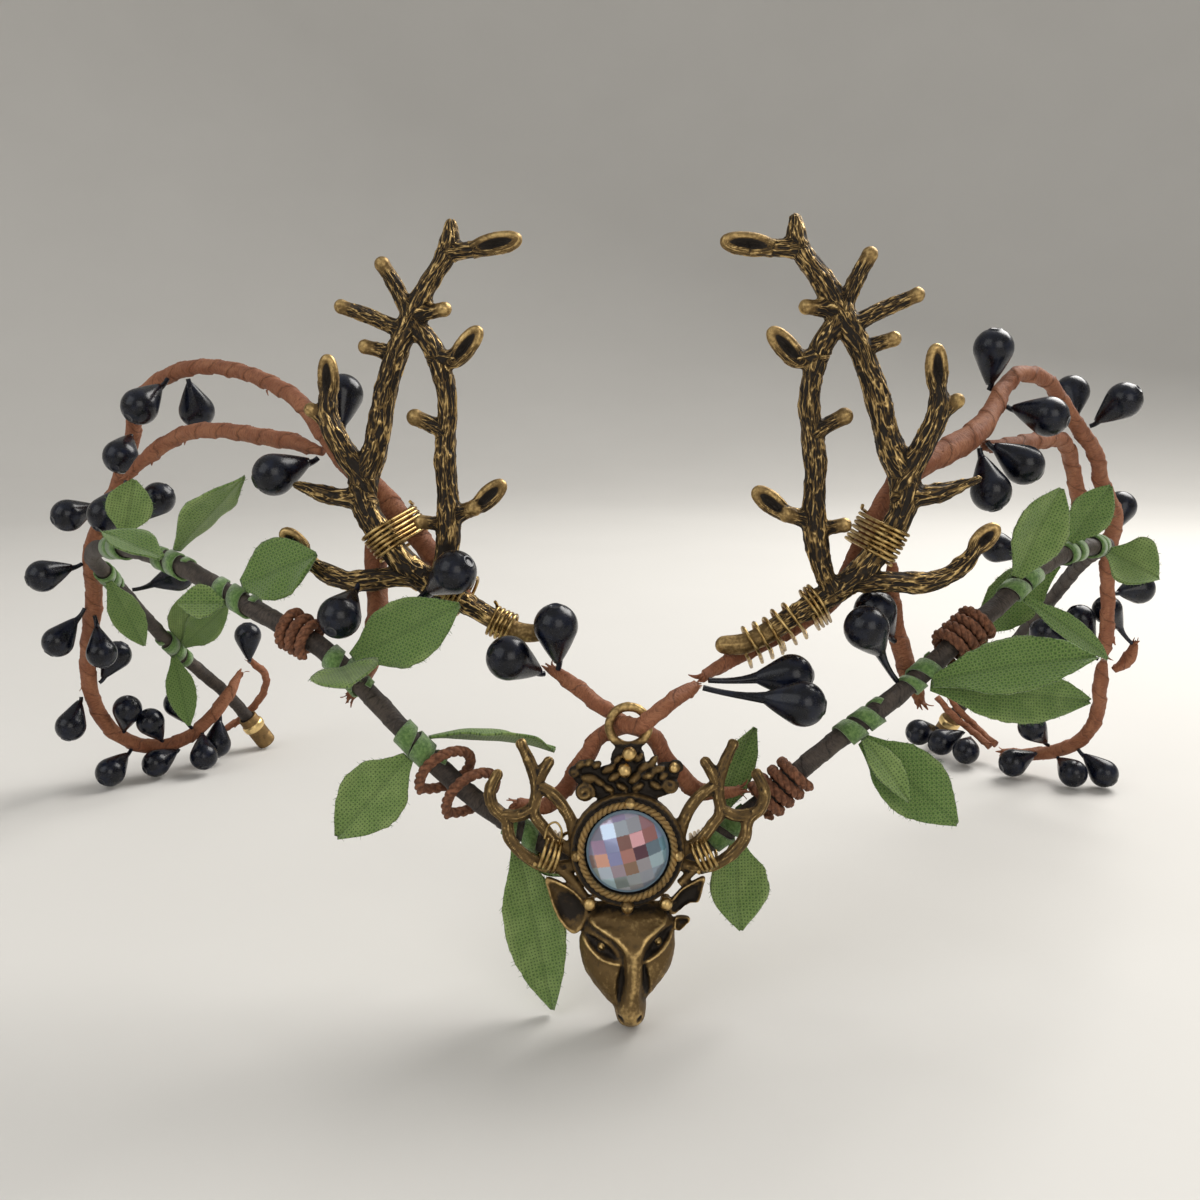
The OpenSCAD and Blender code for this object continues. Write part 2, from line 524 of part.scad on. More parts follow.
module berries_antler_right() {
    berries([[[37.7, 14.5, 43], [32, 9.5, 51.5]], [[38.2, 18.4, 47.8], [34.6, 15.8, 52.6]]]);
}
module berries_arch_right() {
    berries([[[56.4, 39.4, 82.9], [56.5, 38.5, 89.2]], [[58.3, 36.5, 80.5], [63.5, 33, 79]],
        [[53.5, 29.9, 75.4], [59, 29.5, 72]], [[52.2, 29.3, 74.5], [53.5, 27, 68.3]]]);
}
module berries_crest_right() {
    berries([[[77.7, 56.9, 78], [78.5, 62.5, 82.6]], [[79.5, 56.2, 77], [83.5, 53, 81.3]]]);
}
module berries_inner_right() {
    berries([[[87.7, 79.4, 49.9], [74.5, 84, 52.7]], [[88.6, 79.1, 51.9], [84.5, 82.5, 56.7]]]);
}
module berries_outer_right() {
    berries([[[92.8, 73.9, 56.7], [95.5, 78, 61.2]], [[96.4, 80.3, 44.2], [102.8, 83, 44.6]],
        [[105.2, 89.3, 32.2], [99, 88, 39.4]], [[97.4, 87, 32], [93, 86.5, 37.8]],
        [[98.6, 89.4, 28.9], [88.3, 92, 34]]]);
}
module berries_low_right() {
    berries([[[94, 100.2, 7.2], [89.5, 98.5, 11.8]], [[91.6, 100.6, 5.4], [86, 99, 3.6]],
        [[95.4, 98.5, 5.1], [96.5, 92.6, 3.4]], [[99.1, 97, 7.3], [103, 92.5, 3.4]]]);
}
module berries_end_right() {
    berries([[[76.1, 121.3, 4.9], [70.8, 118.5, 4.7]], [[79.7, 114, 6.1], [74.5, 113, 4]],
        [[80.8, 112.4, 5.2], [78.5, 107.5, 3.6]]]);
}

// Height, middle across, half width, front, back of the deer's face from the muzzle to the crown of the head.
face_rows = [[0.2, 0.3, 1.2, 3.2, 1.2], [1.2, 0.3, 1.9, 4.4, 0.5], [2.8, 0.3, 2.2, 5, 0], [4.5, 0.1, 2.6, 5, -0.3],
    [6.5, -0.4, 3.6, 4.9, -0.5], [8.7, -0.2, 5, 4.9, -0.6], [10.7, 0, 6.2, 4.8, -0.6], [12.2, 0, 6.3, 4.5, -0.6],
    [13.8, 0, 5.6, 3.6, -0.6], [15.5, 0, 5.4, 2.2, -0.6], [18, 0, 6, 1.2, -0.6]];
// outward, up
beam_row = [[6, 21.8], [9, 22.5], [11.5, 23], [13.5, 24.3], [14.3, 26.3], [13.5, 28.7], [12, 31.2], [12.8, 34.3],
    [14.1, 37.3]];
brow_tine = [[6.8, 24.5], [7.5, 27], [8.3, 29.2], [10, 31.2], [12.2, 31.4]];
outer_tine = [[14.2, 26.2], [16.5, 27.6], [18, 29.8], [17.6, 31.5], [17, 33.2]];
upper_tine = [[11.8, 31.5], [11, 33.3], [10.4, 35]];
// across, forward, up, radius of the beads on the cup and the crown
beads = [[0.3, 3.2, 30.1, 0.8], [-6.7, 2.8, 23.1, 0.75], [6.7, 2.8, 23.1, 0.75], [0, 2.6, 16.3, 1.1],
    [-4.9, 2.4, 16.7, 0.85], [5, 2.4, 16.8, 0.85], [-0.3, 2, 33.8, 1.1], [6.1, 1.3, 34, 0.95]];
// across and up of one end, across and up of the other, radius, forward
crown_leaves = [[-5.7, 31.2, -5.2, 31.3, 1.5, 1], [-7, 33.5, -5.2, 33.4, 0.8, 0.8], [-4.9, 32.8, -2.6, 34.6, 0.9, 1.1],
    [-3.4, 32.2, -1.4, 33, 0.9, 1.3], [5.6, 31.6, 7, 32.2, 1.1, 0.9], [3.6, 32.4, 5, 34.4, 0.9, 1.1],
    [1.4, 33, 3.2, 33.2, 0.9, 1.3], [0.7, 35.2, 1.2, 35.5, 0.9, 1.5], [-1.6, 35.4, -0.9, 36.2, 0.8, 0.8],
    [1.2, 36.2, -0.6, 37, 0.7, 0.3]];
cup_up = 23.7;
cup_r = 7.4;
rope_r = 0.75;
seat_depth = 2.2;
seat_dish = 0.5;
cup_front = 3.2;
ring_up = 39.8;
ring_reach = 2.6;
ring_wire = 0.6;

function face_ring(r, n = 12) = [for (a = [0 : n - 1]) let (t = 360 * a / n, depth = (r[3] - r[4]) / 2)
    [r[1] + r[2] * cos(t), -(r[3] + r[4]) / 2 + depth * sin(t) * (sin(t) < 0 ? 1 : 0.9), r[0]]];

module deer_antler() {
    for (row = [beam_row, brow_tine, outer_tine, upper_tine])
        tube([for (i = [0 : len(row) - 1]) [row[i].x, 0, row[i].y, i == len(row) - 1 ? 0.5 : 1.1]], 6, 1);
}
module deer_ear() {
    hull() {
        translate([5, -1, 15]) sphere(1.3, $fn = 6);
        translate([6.8, -0.6, 12.6]) sphere(0.9, $fn = 6);
        translate([9, 0, 15.6]) sphere(0.8, $fn = 6);
        translate([7.6, -0.4, 18]) sphere(0.9, $fn = 6);
    }
    hull() {
        translate([8.3, -0.2, 17]) sphere(1.4, $fn = 6);
        translate([10.4, 0.2, 19.2]) sphere(0.6, $fn = 6);
    }
}
module deer() {
    skin([for (r = face_rows) face_ring(r)]);
    hull() {
        translate([0, -4.2, 13.2]) scale([1, 0.3, 0.3]) sphere(4.8, $fn = 10);
        translate([0, -5, 8.5]) sphere(0.8, $fn = 6);
    }
    for (s = [-1, 1]) {
        translate([s * 3.6, -3.9, 10.7]) scale([1, 0.6, 0.6]) sphere(1.9, $fn = 10);
        mirror([s < 0 ? 1 : 0, 0, 0]) {
            deer_antler();
            deer_ear();
        }
    }
    difference() {
        translate([0, 0.6, cup_up]) rotate([90, 0, 0]) cylinder(h = cup_front + 0.6, r = cup_r, $fn = 32);
        translate([0, seat_depth - cup_front, cup_up]) rotate([90, 0, 0]) rotate_extrude($fn = 32)
            polygon([[0, -seat_dish], [stone_r + 0.15, 0], [stone_r + 0.15, seat_depth + 1], [0, seat_depth + 1]]);
    }
    translate([0, -cup_front, cup_up]) rotate([90, 0, 0]) rotate_extrude($fn = 32)
        translate([cup_r - rope_r, 0]) circle(r = rope_r, $fn = 5);
    for (b = beads) hull() {
        translate([b[0], -b[1], b[2]]) sphere(b[3], $fn = 6);
        translate([b[0], 0, b[2]]) cube(b[3], center = true);
    }
    hull() {
        translate([-5.8, 0, 31.4]) sphere(0.9, $fn = 6);
        translate([5.8, 0, 31.8]) sphere(0.9, $fn = 6);
        translate([0.2, 0, 36]) sphere(1.1, $fn = 6);
        translate([0, 0, 30]) sphere(1, $fn = 6);
    }
    for (c = crown_leaves) hull() {
        translate([c[0], -c[5], c[1]]) sphere(c[4], $fn = 6);
        translate([c[2], -c[5], c[3]]) sphere(c[4] * 0.8, $fn = 6);
    }
    translate([0.2, 0, ring_up]) rotate([90, 0, 0]) rotate_extrude($fn = 18)
        translate([ring_reach, 0]) circle(r = ring_wire, $fn = 6);
}
module on_deer() {
    translate(home) translate([0, 0, -0.4]) rotate([-deer_lean, 0, 0]) children();
}
module deer_pendant() {
    color(bronze) on_deer() deer();
}

// Height over the girdle, radius, facets of the stone's steps.
stone_rows = [[0, stone_r, 16], [0.9, 0.93 * stone_r, 16], [1.9, 0.72 * stone_r, 12], [2.6, 0.42 * stone_r, 8]];
module cabochon() {
    color("lavender") on_deer() translate([0, seat_depth - cup_front - 0.1, cup_up]) rotate([90, 0, 0]) hull() {
        cylinder(h = 0.3, r = 0.9 * stone_r, $fn = 16);
        for (i = [0 : len(stone_rows) - 1]) translate([0, 0, 1.3 + stone_rows[i][0]]) rotate([0, 0, 11.25 * i])
            cylinder(h = 0.01, r = stone_rows[i][1], $fn = stone_rows[i][2]);
    }
}

deer_pendant();
cabochon();
antler_left();
antler_right();
lashing_antler_left();
lashing_antler_right();
lashing_deer();
stem();
ferrule_left();
ferrule_right();
vine_brow();
vine_hanger();
vine_left();
spur_left();
strut_left();
tie_left();
vine_right();
spur_right();
fork_right();
tail_right();
tie_right();
strut_right();
cord_front_left();
cord_front_right();
cord_side_left();
cord_side_right();
leaves_brow();
leaves_front_left();
leaves_antler_left();
leaves_side_left();
leaves_turn_left();
leaf_upright_left();
leaf_hanging_left();
leaves_rear_left();
leaves_stone_right();
leaves_front_right();
leaves_big_right();
leaves_upright_right();
leaf_turn_right();
leaves_low_right();
berries_brow_left();
berries_antler_left();
berries_arch_left();
berries_crest_left();
berries_outer_left();
berries_inner_left();
berries_drop_left();
berries_low_left();
berries_end_left();
berries_brow_right();
berries_antler_right();
berries_arch_right();
berries_crest_right();
berries_inner_right();
berries_outer_right();
berries_low_right();
berries_end_right();
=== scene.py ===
"""Woodland tiara: the finished look of every piece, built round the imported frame.

The piece classes hold their sizes in millimetres, in the frame of part.scad.
place() turns them to metres.
"""
from __future__ import annotations

import logging
import math
from dataclasses import dataclass, field
from enum import Enum
from functools import cache
from typing import Sequence

import bpy
import numpy as np
from bpy.types import Material, Node, NodeSocket, NodeTree, Object
from mathutils import Euler, Matrix, Vector
from mathutils.kdtree import KDTree


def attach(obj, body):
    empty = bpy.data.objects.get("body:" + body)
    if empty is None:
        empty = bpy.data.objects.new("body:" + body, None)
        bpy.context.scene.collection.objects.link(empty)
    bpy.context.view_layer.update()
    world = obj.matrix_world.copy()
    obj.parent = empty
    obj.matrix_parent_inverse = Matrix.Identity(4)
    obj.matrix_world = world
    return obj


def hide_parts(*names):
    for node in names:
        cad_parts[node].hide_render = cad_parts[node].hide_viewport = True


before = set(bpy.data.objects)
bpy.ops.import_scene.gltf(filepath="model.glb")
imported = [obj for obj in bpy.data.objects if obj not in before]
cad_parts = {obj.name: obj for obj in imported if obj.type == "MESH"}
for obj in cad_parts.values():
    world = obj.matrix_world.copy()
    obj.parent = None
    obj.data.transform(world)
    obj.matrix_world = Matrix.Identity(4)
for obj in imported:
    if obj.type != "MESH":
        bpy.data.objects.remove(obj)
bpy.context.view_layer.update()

log = logging.getLogger("tiara")
Array = np.ndarray
Point = tuple[float, float, float]
Rows = Sequence[Sequence[float]]
Mesh = tuple[Array, list]
Sockets = dict[str, NodeSocket]

MM = 0.001
TURN = 2 * math.pi
MAP_UNIT = 100.0

# Shared sizes in millimetres, as in part.scad
HOME = np.array([4.8, -61.0, 0.0])
STEM_R = 1.4
EASE = 0.2
TAPE_R = 2.35
CORD_R = 0.8
ON_STEM = STEM_R + EASE + CORD_R
WIRE_R = 0.25
BERRY_R = 3.0
PIP = 6.0
STONE_R = 5.4
CUP_UP = 23.7
TORN_R = 0.6
STEM_ROUTE = (
    (-83.5, 121, 3.3), (-86.5, 118.5, 9.3), (-89, 114.5, 15), (-92, 109, 21), (-95, 101, 28.5), (-97, 93, 36),
    (-98, 84, 43.5), (-97.5, 75, 49), (-96, 67, 52.5), (-93, 60, 54.5), (-89, 52.5, 56.5), (-85, 45.5, 57.5),
    (-79, 39, 58.5), (-73, 33, 58.5), (-67.5, 29, 57.5), (-62, 25, 56), (-56, 21.5, 53.5), (-49, 18, 50.5),
    (-42.5, 15.5, 47.5), (-35.5, 13, 41.5), (-28.5, 11, 34.5), (-21.5, 10, 28), (-14, 9, 23), (-6.5, 8, 19.5),
    (0, 8, 18), (7, 8, 19.5), (14, 9, 23.5), (21, 10, 29), (28, 11.5, 34.5), (35, 13.5, 39), (41.5, 16, 43.5),
    (48, 19, 48.5), (54, 22, 52.5), (60, 26, 56.5), (67, 32, 58.5), (74, 40, 58.5), (80, 49, 57.5),
    (85, 59, 56), (88, 69, 54), (89.5, 79, 50.5), (90, 88, 45), (89.5, 96, 38.5), (88, 104, 31),
    (86, 111, 23), (83, 117.5, 15), (80, 121.5, 8.3), (78, 123.5, 3.3))


# Vectors, paths and random relief
PRIME = 2**31 - 1
BIG_PRIME = 2**32 - 5
STRIDES = (73856093, 19349663, 83492791, 2654435761)  # what a place and a seed are multiplied by
STIR = 48271  # the step of the random numbers
POLE = 0.04  # how far an egg shape stops short of its poles, in radians


def unit(v: Array) -> Array:
    """The vectors of the last axis, each one long."""
    v = np.asarray(v, float)
    return v / np.maximum(np.linalg.norm(v, axis=-1, keepdims=True), 1e-12)


def square_to(v: Array, t: Array) -> Array:
    """The unit direction of v that stands square to t."""
    v = np.asarray(v, float)
    return unit(v - np.dot(v, t) * t)


def ease_in(x: Array, low: float, high: float) -> Array:
    """A smooth step from 0 at low to 1 at high."""
    t = np.clip((np.asarray(x, float) - low) / (high - low), 0, 1)
    return t * t * (3 - 2 * t)


def smooth(rows: Rows, n: int = 8) -> Array:
    """A smooth line through the rows, as part.scad draws it.

    Args:
        rows: points, with any further columns carried along
        n: steps between two rows

    Returns:
        The points of the line, one row each.
    """
    p = np.asarray(rows, float)
    before, after = np.vstack([p[:1], p[:-2]]), np.vstack([p[2:], p[-1:]])
    a, b, c, d = (q[:, None, :] for q in (before, p[:-1], p[1:], after))
    t = (np.arange(n) / n)[None, :, None]
    q = 0.5 * (2 * b + (c - a) * t + (2 * a - 5 * b + 4 * c - d) * t**2 + (3 * b - a - 3 * c + d) * t**3)
    return np.vstack([q.reshape(-1, p.shape[1]), p[-1:]])


def circle(n: int) -> Array:
    """The angles of n places evenly round a circle."""
    return TURN * np.arange(n) / n


def lengths(p: Array) -> Array:
    """The length along the line at each of its points."""
    return np.concatenate([[0], np.cumsum(np.linalg.norm(np.diff(p[:, :3], axis=0), axis=1))])


def even(rows: Rows, step: float) -> tuple[Array, Array]:
    """The smooth line through the rows with its points a step apart.

    Args:
        rows: points, with any further columns carried along
        step: distance between points in millimetres

    Returns:
        The points and the length along the line at each.
    """
    p = smooth(rows)
    s = lengths(p)
    u = np.linspace(0, s[-1], max(3, round(s[-1] / step) + 1))
    return np.column_stack([np.interp(u, s, p[:, k]) for k in range(p.shape[1])]), u


def carried(p: Array) -> tuple[Array, Array, Array]:
    """Directions that follow a line without turning round it.

    Args:
        p: the points of the line

    Returns:
        The direction of the line, its side and its back at each point.
    """
    xyz = p[:, :3]
    t = unit(np.vstack([xyz[1:2] - xyz[:1], xyz[2:] - xyz[:-2], xyz[-1:] - xyz[-2:-1]]))
    side = np.zeros_like(t)
    last = np.array([0, 0, 1.0]) if abs(t[0][2]) < 0.9 else np.array([1.0, 0, 0])
    for i, along in enumerate(t):
        last = square_to(last, along)
        side[i] = last
    return t, side, np.cross(t, side)


def stem_at(near: Sequence[float]) -> tuple[Array, Array]:
    """The stem's middle and its direction where it passes closest to a point."""
    p = smooth(STEM_ROUTE, 2)
    i = int(np.argmin(np.linalg.norm(p - np.asarray(near, float), axis=1)))
    return p[i], unit(p[min(i + 1, len(p) - 1)] - p[max(i - 1, 0)])


def mottle(p: Array, seed: int = 0) -> Array:
    """Smooth random relief from -1 to 1 with features about one unit across.

    Args:
        p: points, with their coordinates on the last axis
        seed: picks the pattern

    Returns:
        One value for each point.
    """
    rows = np.reshape(p, (-1, 3))
    cell = np.floor(rows).astype(np.int64)
    f = rows - cell
    f = f * f * (3 - 2 * f)
    total = np.zeros(len(rows))
    for corner in range(8):
        o = np.array([corner & 1, corner >> 1 & 1, corner >> 2 & 1])
        q = (cell + o).astype(np.uint32).astype(np.uint64)
        h = q[:, 0] * STRIDES[0] ^ q[:, 1] * STRIDES[1] ^ q[:, 2] * STRIDES[2] ^ (seed + 1) * STRIDES[3]
        h = (h % BIG_PRIME * STIR + 12345) % PRIME
        h = (h * STIR) % PRIME
        total += np.prod(np.where(o, f, 1 - f), axis=1) * (h.astype(float) / (PRIME / 2) - 1)
    return total.reshape(np.shape(p)[:-1])


# Plain meshes as arrays of points and lists of faces
def linked(name: str, data: bpy.types.ID) -> Object:
    """A new object with the data, in the scene."""
    ob = bpy.data.objects.new(name, data)
    bpy.context.scene.collection.objects.link(ob)
    return ob


def join(parts: Sequence[Mesh]) -> Mesh:
    """Several meshes as one, their faces renumbered."""
    faces: list = []
    start = 0
    for v, f in parts:
        faces += [tuple(i + start for i in q) for q in f]
        start += len(v)
    return np.vstack([v for v, _ in parts]), faces


def skin(rings: Array, closed: bool = False) -> Mesh:
    """A closed skin over a row of rings.

    Args:
        rings: points, as rings, places round a ring, and coordinates
        closed: whether the last ring meets the first

    Returns:
        The mesh, with a middle point on each open end.
    """
    m, n = rings.shape[:2]
    v = rings.reshape(-1, 3)
    faces = []
    for i in range(m if closed else m - 1):
        j = (i + 1) % m
        faces += [(i * n + a, i * n + (a + 1) % n, j * n + (a + 1) % n, j * n + a) for a in range(n)]
    if not closed:
        v = np.vstack([v, rings[0].mean(axis=0), rings[-1].mean(axis=0)])
        low, high = m * n, m * n + 1
        faces += [(low, (a + 1) % n, a) for a in range(n)]
        faces += [(high, (m - 1) * n + a, (m - 1) * n + (a + 1) % n) for a in range(n)]
    return v, faces


def hoops(middle: Array, x: Array, y: Array, r: Array) -> Array:
    """Rings round points, from the directions x and y and the radius at each place round a ring."""
    a = circle(r.shape[-1])[None, :, None]
    return middle[:, None] + r[..., None] * (np.cos(a) * x[:, None] + np.sin(a) * y[:, None])


def tube(p: Array, sides: int, swell: Array | float = 0.0) -> Mesh:
    """A closed rod along points with their radius as the fourth column, swollen where swell says."""
    _, side, back = carried(p)
    return skin(hoops(p[:, :3], side, back, p[:, 3:4] + np.zeros(sides) + swell))


def turned(degrees: Sequence[float]) -> Array:
    """The matrix that turns rows of points about X, Y and Z."""
    return np.array(Euler([math.radians(d) for d in degrees]).to_matrix()).T


def blob(middle: Sequence[float], radii: Sequence[float], turn: Point = (0, 0, 0)) -> Mesh:
    """An egg shape.

    Args:
        middle: its centre
        radii: its three half sizes
        turn: its turn about X, Y and Z in degrees

    Returns:
        The mesh.
    """
    v = np.linspace(POLE, math.pi - POLE, 9)[:, None]
    a = circle(16)[None, :]
    p = np.stack([np.sin(v) * np.cos(a), np.sin(v) * np.sin(a), -np.cos(v) + 0 * a], axis=-1)
    return skin((p * np.asarray(radii)) @ turned(turn) + np.asarray(middle, float))


def lathe(profile: Rows, n: int, share: Array | float = 1.0) -> Mesh:
    """A shape turned about Z.

    Args:
        profile: radius and height, from the bottom of the outside round to its end
        n: places round it
        share: what the radius is multiplied by, a number or one value for each place

    Returns:
        The mesh, closed at both ends of the profile.
    """
    rows = np.asarray(profile, float)
    r = rows[:, :1] * share
    a = circle(n)
    return skin(np.stack([r * np.cos(a), r * np.sin(a), rows[:, 1:2] + 0 * a], axis=-1))


def vertex_normals(v: Array, faces: list) -> Array:
    """The outward direction at each point of a mesh of four-sided faces."""
    q = np.asarray(faces)
    across = np.cross(v[q[:, 2]] - v[q[:, 0]], v[q[:, 3]] - v[q[:, 1]])
    n = np.zeros_like(v)
    for k in range(4):
        np.add.at(n, q[:, k], across)
    return unit(n)


def relaxed(v: Array, faces: list, rounds: int, share: float = 0.5) -> Array:
    """The points of a mesh of four-sided faces, moved toward the middle of their neighbours.

    Args:
        v: the points
        faces: four-sided faces
        rounds: how many times they move
        share: how far they move each time, from 0 to 1

    Returns:
        The moved points.
    """
    q = np.asarray(faces)
    ends = np.vstack([q[:, [0, 1]], q[:, [1, 2]], q[:, [2, 3]], q[:, [3, 0]]])
    count = np.bincount(ends[:, 0], minlength=len(v)) + np.bincount(ends[:, 1], minlength=len(v))
    for _ in range(rounds):
        total = np.stack([np.bincount(ends[:, 0], v[ends[:, 1], k], len(v)) +
                          np.bincount(ends[:, 1], v[ends[:, 0], k], len(v)) for k in range(3)], axis=1)
        v = v + share * (total / np.maximum(count, 1)[:, None] - v)
    return v


def fused(parts: Sequence[Mesh], grain: float) -> Mesh:
    """Several overlapping meshes as one skin of small square faces.

    Args:
        parts: closed meshes in millimetres
        grain: size of a face in millimetres

    Returns:
        The skin.
    """
    v, faces = join(parts)
    data = bpy.data.meshes.new("fusing")
    data.from_pydata(v.tolist(), [], faces)
    ob = linked("fusing", data)
    mod = ob.modifiers.new("fuse", "REMESH")
    mod.mode = "VOXEL"
    mod.voxel_size = grain
    mod.adaptivity = 0
    depsgraph = bpy.context.evaluated_depsgraph_get()
    made = ob.evaluated_get(depsgraph).to_mesh()
    points = np.empty(len(made.vertices) * 3)
    made.vertices.foreach_get("co", points)
    corners = np.empty(len(made.loops), dtype=np.int64)
    made.loops.foreach_get("vertex_index", corners)
    bpy.data.objects.remove(ob)
    bpy.data.meshes.remove(data)
    return points.reshape(-1, 3), corners.reshape(-1, 4).tolist()


def relief_of(v: Array, faces: list, rounds: int, depth: float) -> Array:
    """How far each point stands out of its surroundings, from -1 in a hollow to 1 at the depth."""
    out = v - relaxed(v, faces, rounds)
    return np.clip(np.einsum("ij,ij->i", out, vertex_normals(v, faces)) / depth, -1, 1)


# Node trees
class Kind(Enum):
    """What a socket of a node group carries."""

    NUMBER = "NodeSocketFloat"
    COUNT = "NodeSocketInt"
    VECTOR = "NodeSocketVector"
    COLOUR = "NodeSocketColor"
    SHAPE = "NodeSocketGeometry"
    OBJECT = "NodeSocketObject"
    MATERIAL = "NodeSocketMaterial"


class Graph:
    """A node tree with short calls that add and join its nodes."""

    def __init__(self, tree: NodeTree) -> None:
        """Holds the tree that the calls add to."""
        self.tree = tree

    def put(self, kind: str, inputs: dict | None = None, **settings: object) -> Node:
        """Adds a node.

        Args:
            kind: the node's type
            inputs: what goes to its sockets, by name or place: another node's socket or a value
            settings: the node's own settings

        Returns:
            The node.
        """
        node = self.tree.nodes.new(kind)
        for name, value in settings.items():
            setattr(node, name, value)
        for key, value in (inputs or {}).items():
            if isinstance(value, NodeSocket):
                self.tree.links.new(value, node.inputs[key])
            else:
                node.inputs[key].default_value = value
        return node

    def sum(self, operation: str, a: object, b: object = 0.0, c: object = 0.0) -> NodeSocket:
        """The result of a Math node with one, two or three values."""
        return self.put("ShaderNodeMath", {0: a, 1: b, 2: c}, operation=operation).outputs[0]

    def line(self, value: object, slope: object, start: object) -> NodeSocket:
        """The value times the slope, plus the start."""
        return self.sum("MULTIPLY_ADD", value, slope, start)

    def times(self, a: object, b: object) -> NodeSocket:
        """The product of two values."""
        return self.sum("MULTIPLY", a, b)

    def add(self, *values: object) -> NodeSocket:
        """The sum of several values."""
        total, *others = values
        for value in others:
            total = self.sum("ADD", total, value)
        return total

    def vector(self, operation: str, a: object, b: object = (1, 1, 1)) -> NodeSocket:
        """The result of a Vector Math node with two vectors."""
        return self.put("ShaderNodeVectorMath", {0: a, 1: b}, operation=operation).outputs[0]

    def scaled(self, vector: NodeSocket, by: float) -> NodeSocket:
        """The vector times a number."""
        return self.put("ShaderNodeVectorMath", {0: vector, "Scale": by}, operation="SCALE").outputs[0]

    def step(self, value: object, low: float, high: float) -> NodeSocket:
        """A smooth step from 0 where the value is low to 1 where it is high."""
        return self.put("ShaderNodeMapRange", {"Value": value, "From Min": low, "From Max": high},
                        interpolation_type="SMOOTHSTEP").outputs[0]

    def mix(self, share: object, a: object, b: object) -> NodeSocket:
        """The colour between a and b, at b where the share is one."""
        return self.put("ShaderNodeMix", {0: share, 6: a, 7: b}, data_type="RGBA").outputs[2]

    def noise(self, place: object, size: object, detail: float = 3.0, bent: float = 0.0) -> NodeSocket:
        """Noise from 0 to 1 whose features are about one over the size across."""
        return self.put("ShaderNodeTexNoise", {"Vector": place, "Scale": size, "Detail": detail,
                                               "Distortion": bent}).outputs[0]

    def parts(self, vector: NodeSocket) -> Sequence[NodeSocket]:
        """The three numbers of a vector."""
        return self.put("ShaderNodeSeparateXYZ", {0: vector}).outputs

    def mark(self, name: str, output: str = "Fac") -> NodeSocket:
        """A value or vector that the piece's mesh carries at its points."""
        return self.put("ShaderNodeAttribute", attribute_name=name).outputs[output]

    def place(self) -> NodeSocket:
        """The place on the object in millimetres."""
        return self.scaled(self.put("ShaderNodeTexCoord").outputs["Object"], 1 / MM)

    def relief(self, height: NodeSocket, depth: float) -> NodeSocket:
        """The normal of a fine relief whose full height is the depth in millimetres."""
        return self.put("ShaderNodeBump", {
            "Height": height, "Distance": depth * MM, "Strength": 1.0}).outputs[0]

    def group(self, tree: NodeTree, inputs: dict) -> Sequence[NodeSocket]:
        """Places a shared group and gives its outputs."""
        return self.put("ShaderNodeGroup", inputs, node_tree=tree).outputs


def open_group(name: str, inputs: dict[str, Kind | float],
               kind: str = "ShaderNodeTree") -> tuple[Graph, Sequence[NodeSocket]]:
    """A new node group with named inputs.

    Args:
        name: the group's name
        inputs: each input's name, with its first value or with what it carries
        kind: the kind of tree

    Returns:
        The tree and its inputs.
    """
    tree = bpy.data.node_groups.new(name, kind)
    for label, first in inputs.items():
        value = None if isinstance(first, Kind) else first
        carries = first if value is None else Kind.COUNT if isinstance(value, int) else Kind.NUMBER
        made = tree.interface.new_socket(label, in_out="INPUT", socket_type=carries.value)
        if value is not None:
            made.default_value = value
    return Graph(tree), tree.nodes.new("NodeGroupInput").outputs


def close_group(g: Graph, results: Sockets) -> NodeTree:
    """Ends the group.

    Args:
        g: the group's tree
        results: what goes to its outputs, by their names

    Returns:
        The finished tree.
    """
    for label, socket in results.items():
        g.tree.interface.new_socket(label, in_out="OUTPUT", socket_type=Kind(socket.bl_idname).value)
    end = g.tree.nodes.new("NodeGroupOutput")
    for label, socket in results.items():
        g.tree.links.new(socket, end.inputs[label])
    return g.tree


@cache
def tarnish() -> NodeTree:
    """Patina that lies in the hollows of a casting and is worn off its edges."""
    g, into = open_group("tarnish", {
        "Relief": 0.0, "Place": Kind.VECTOR, "Polish": 0.0, "Bark": Kind.VECTOR, "Barked": 0.0,
        "Dark": Kind.COLOUR, "Middle": Kind.COLOUR, "Bright": Kind.COLOUR})
    blotch = g.noise(into["Place"], 0.45, 4.0)
    speck = g.noise(into["Place"], 2.6)
    grain = g.noise(g.vector("MULTIPLY", into["Bark"], (1, 1, 0.13)), 2.8, 2.0, 0.4)
    ridge = g.sum("SUBTRACT", 1.0, g.step(g.sum("ABSOLUTE", g.sum("SUBTRACT", grain, 0.5)), 0.0, 0.09))
    uneven = g.add(g.line(blotch, 0.9, -0.45), g.line(speck, 0.7, -0.35))
    cut = g.times(g.line(ridge, 1.2, -0.58), into["Barked"])
    wear = g.add(into["Relief"], uneven, into["Polish"], cut)
    low = g.step(wear, -0.55, 0.1)
    high = g.step(wear, 0.12, 0.8)
    fine = g.line(speck, 0.6, g.times(g.noise(into["Place"], 7.0, 2.0), 0.4))
    return close_group(g, {
        "Color": g.mix(high, g.mix(low, into["Dark"], into["Middle"]), into["Bright"]),
        "Metallic": g.line(low, 0.4, 0.6),
        "Roughness": g.sum("SUBTRACT", g.line(speck, 0.25, 0.5), g.times(high, 0.3)),
        "Height": g.add(fine, g.times(g.times(ridge, into["Barked"]), 2.4))})


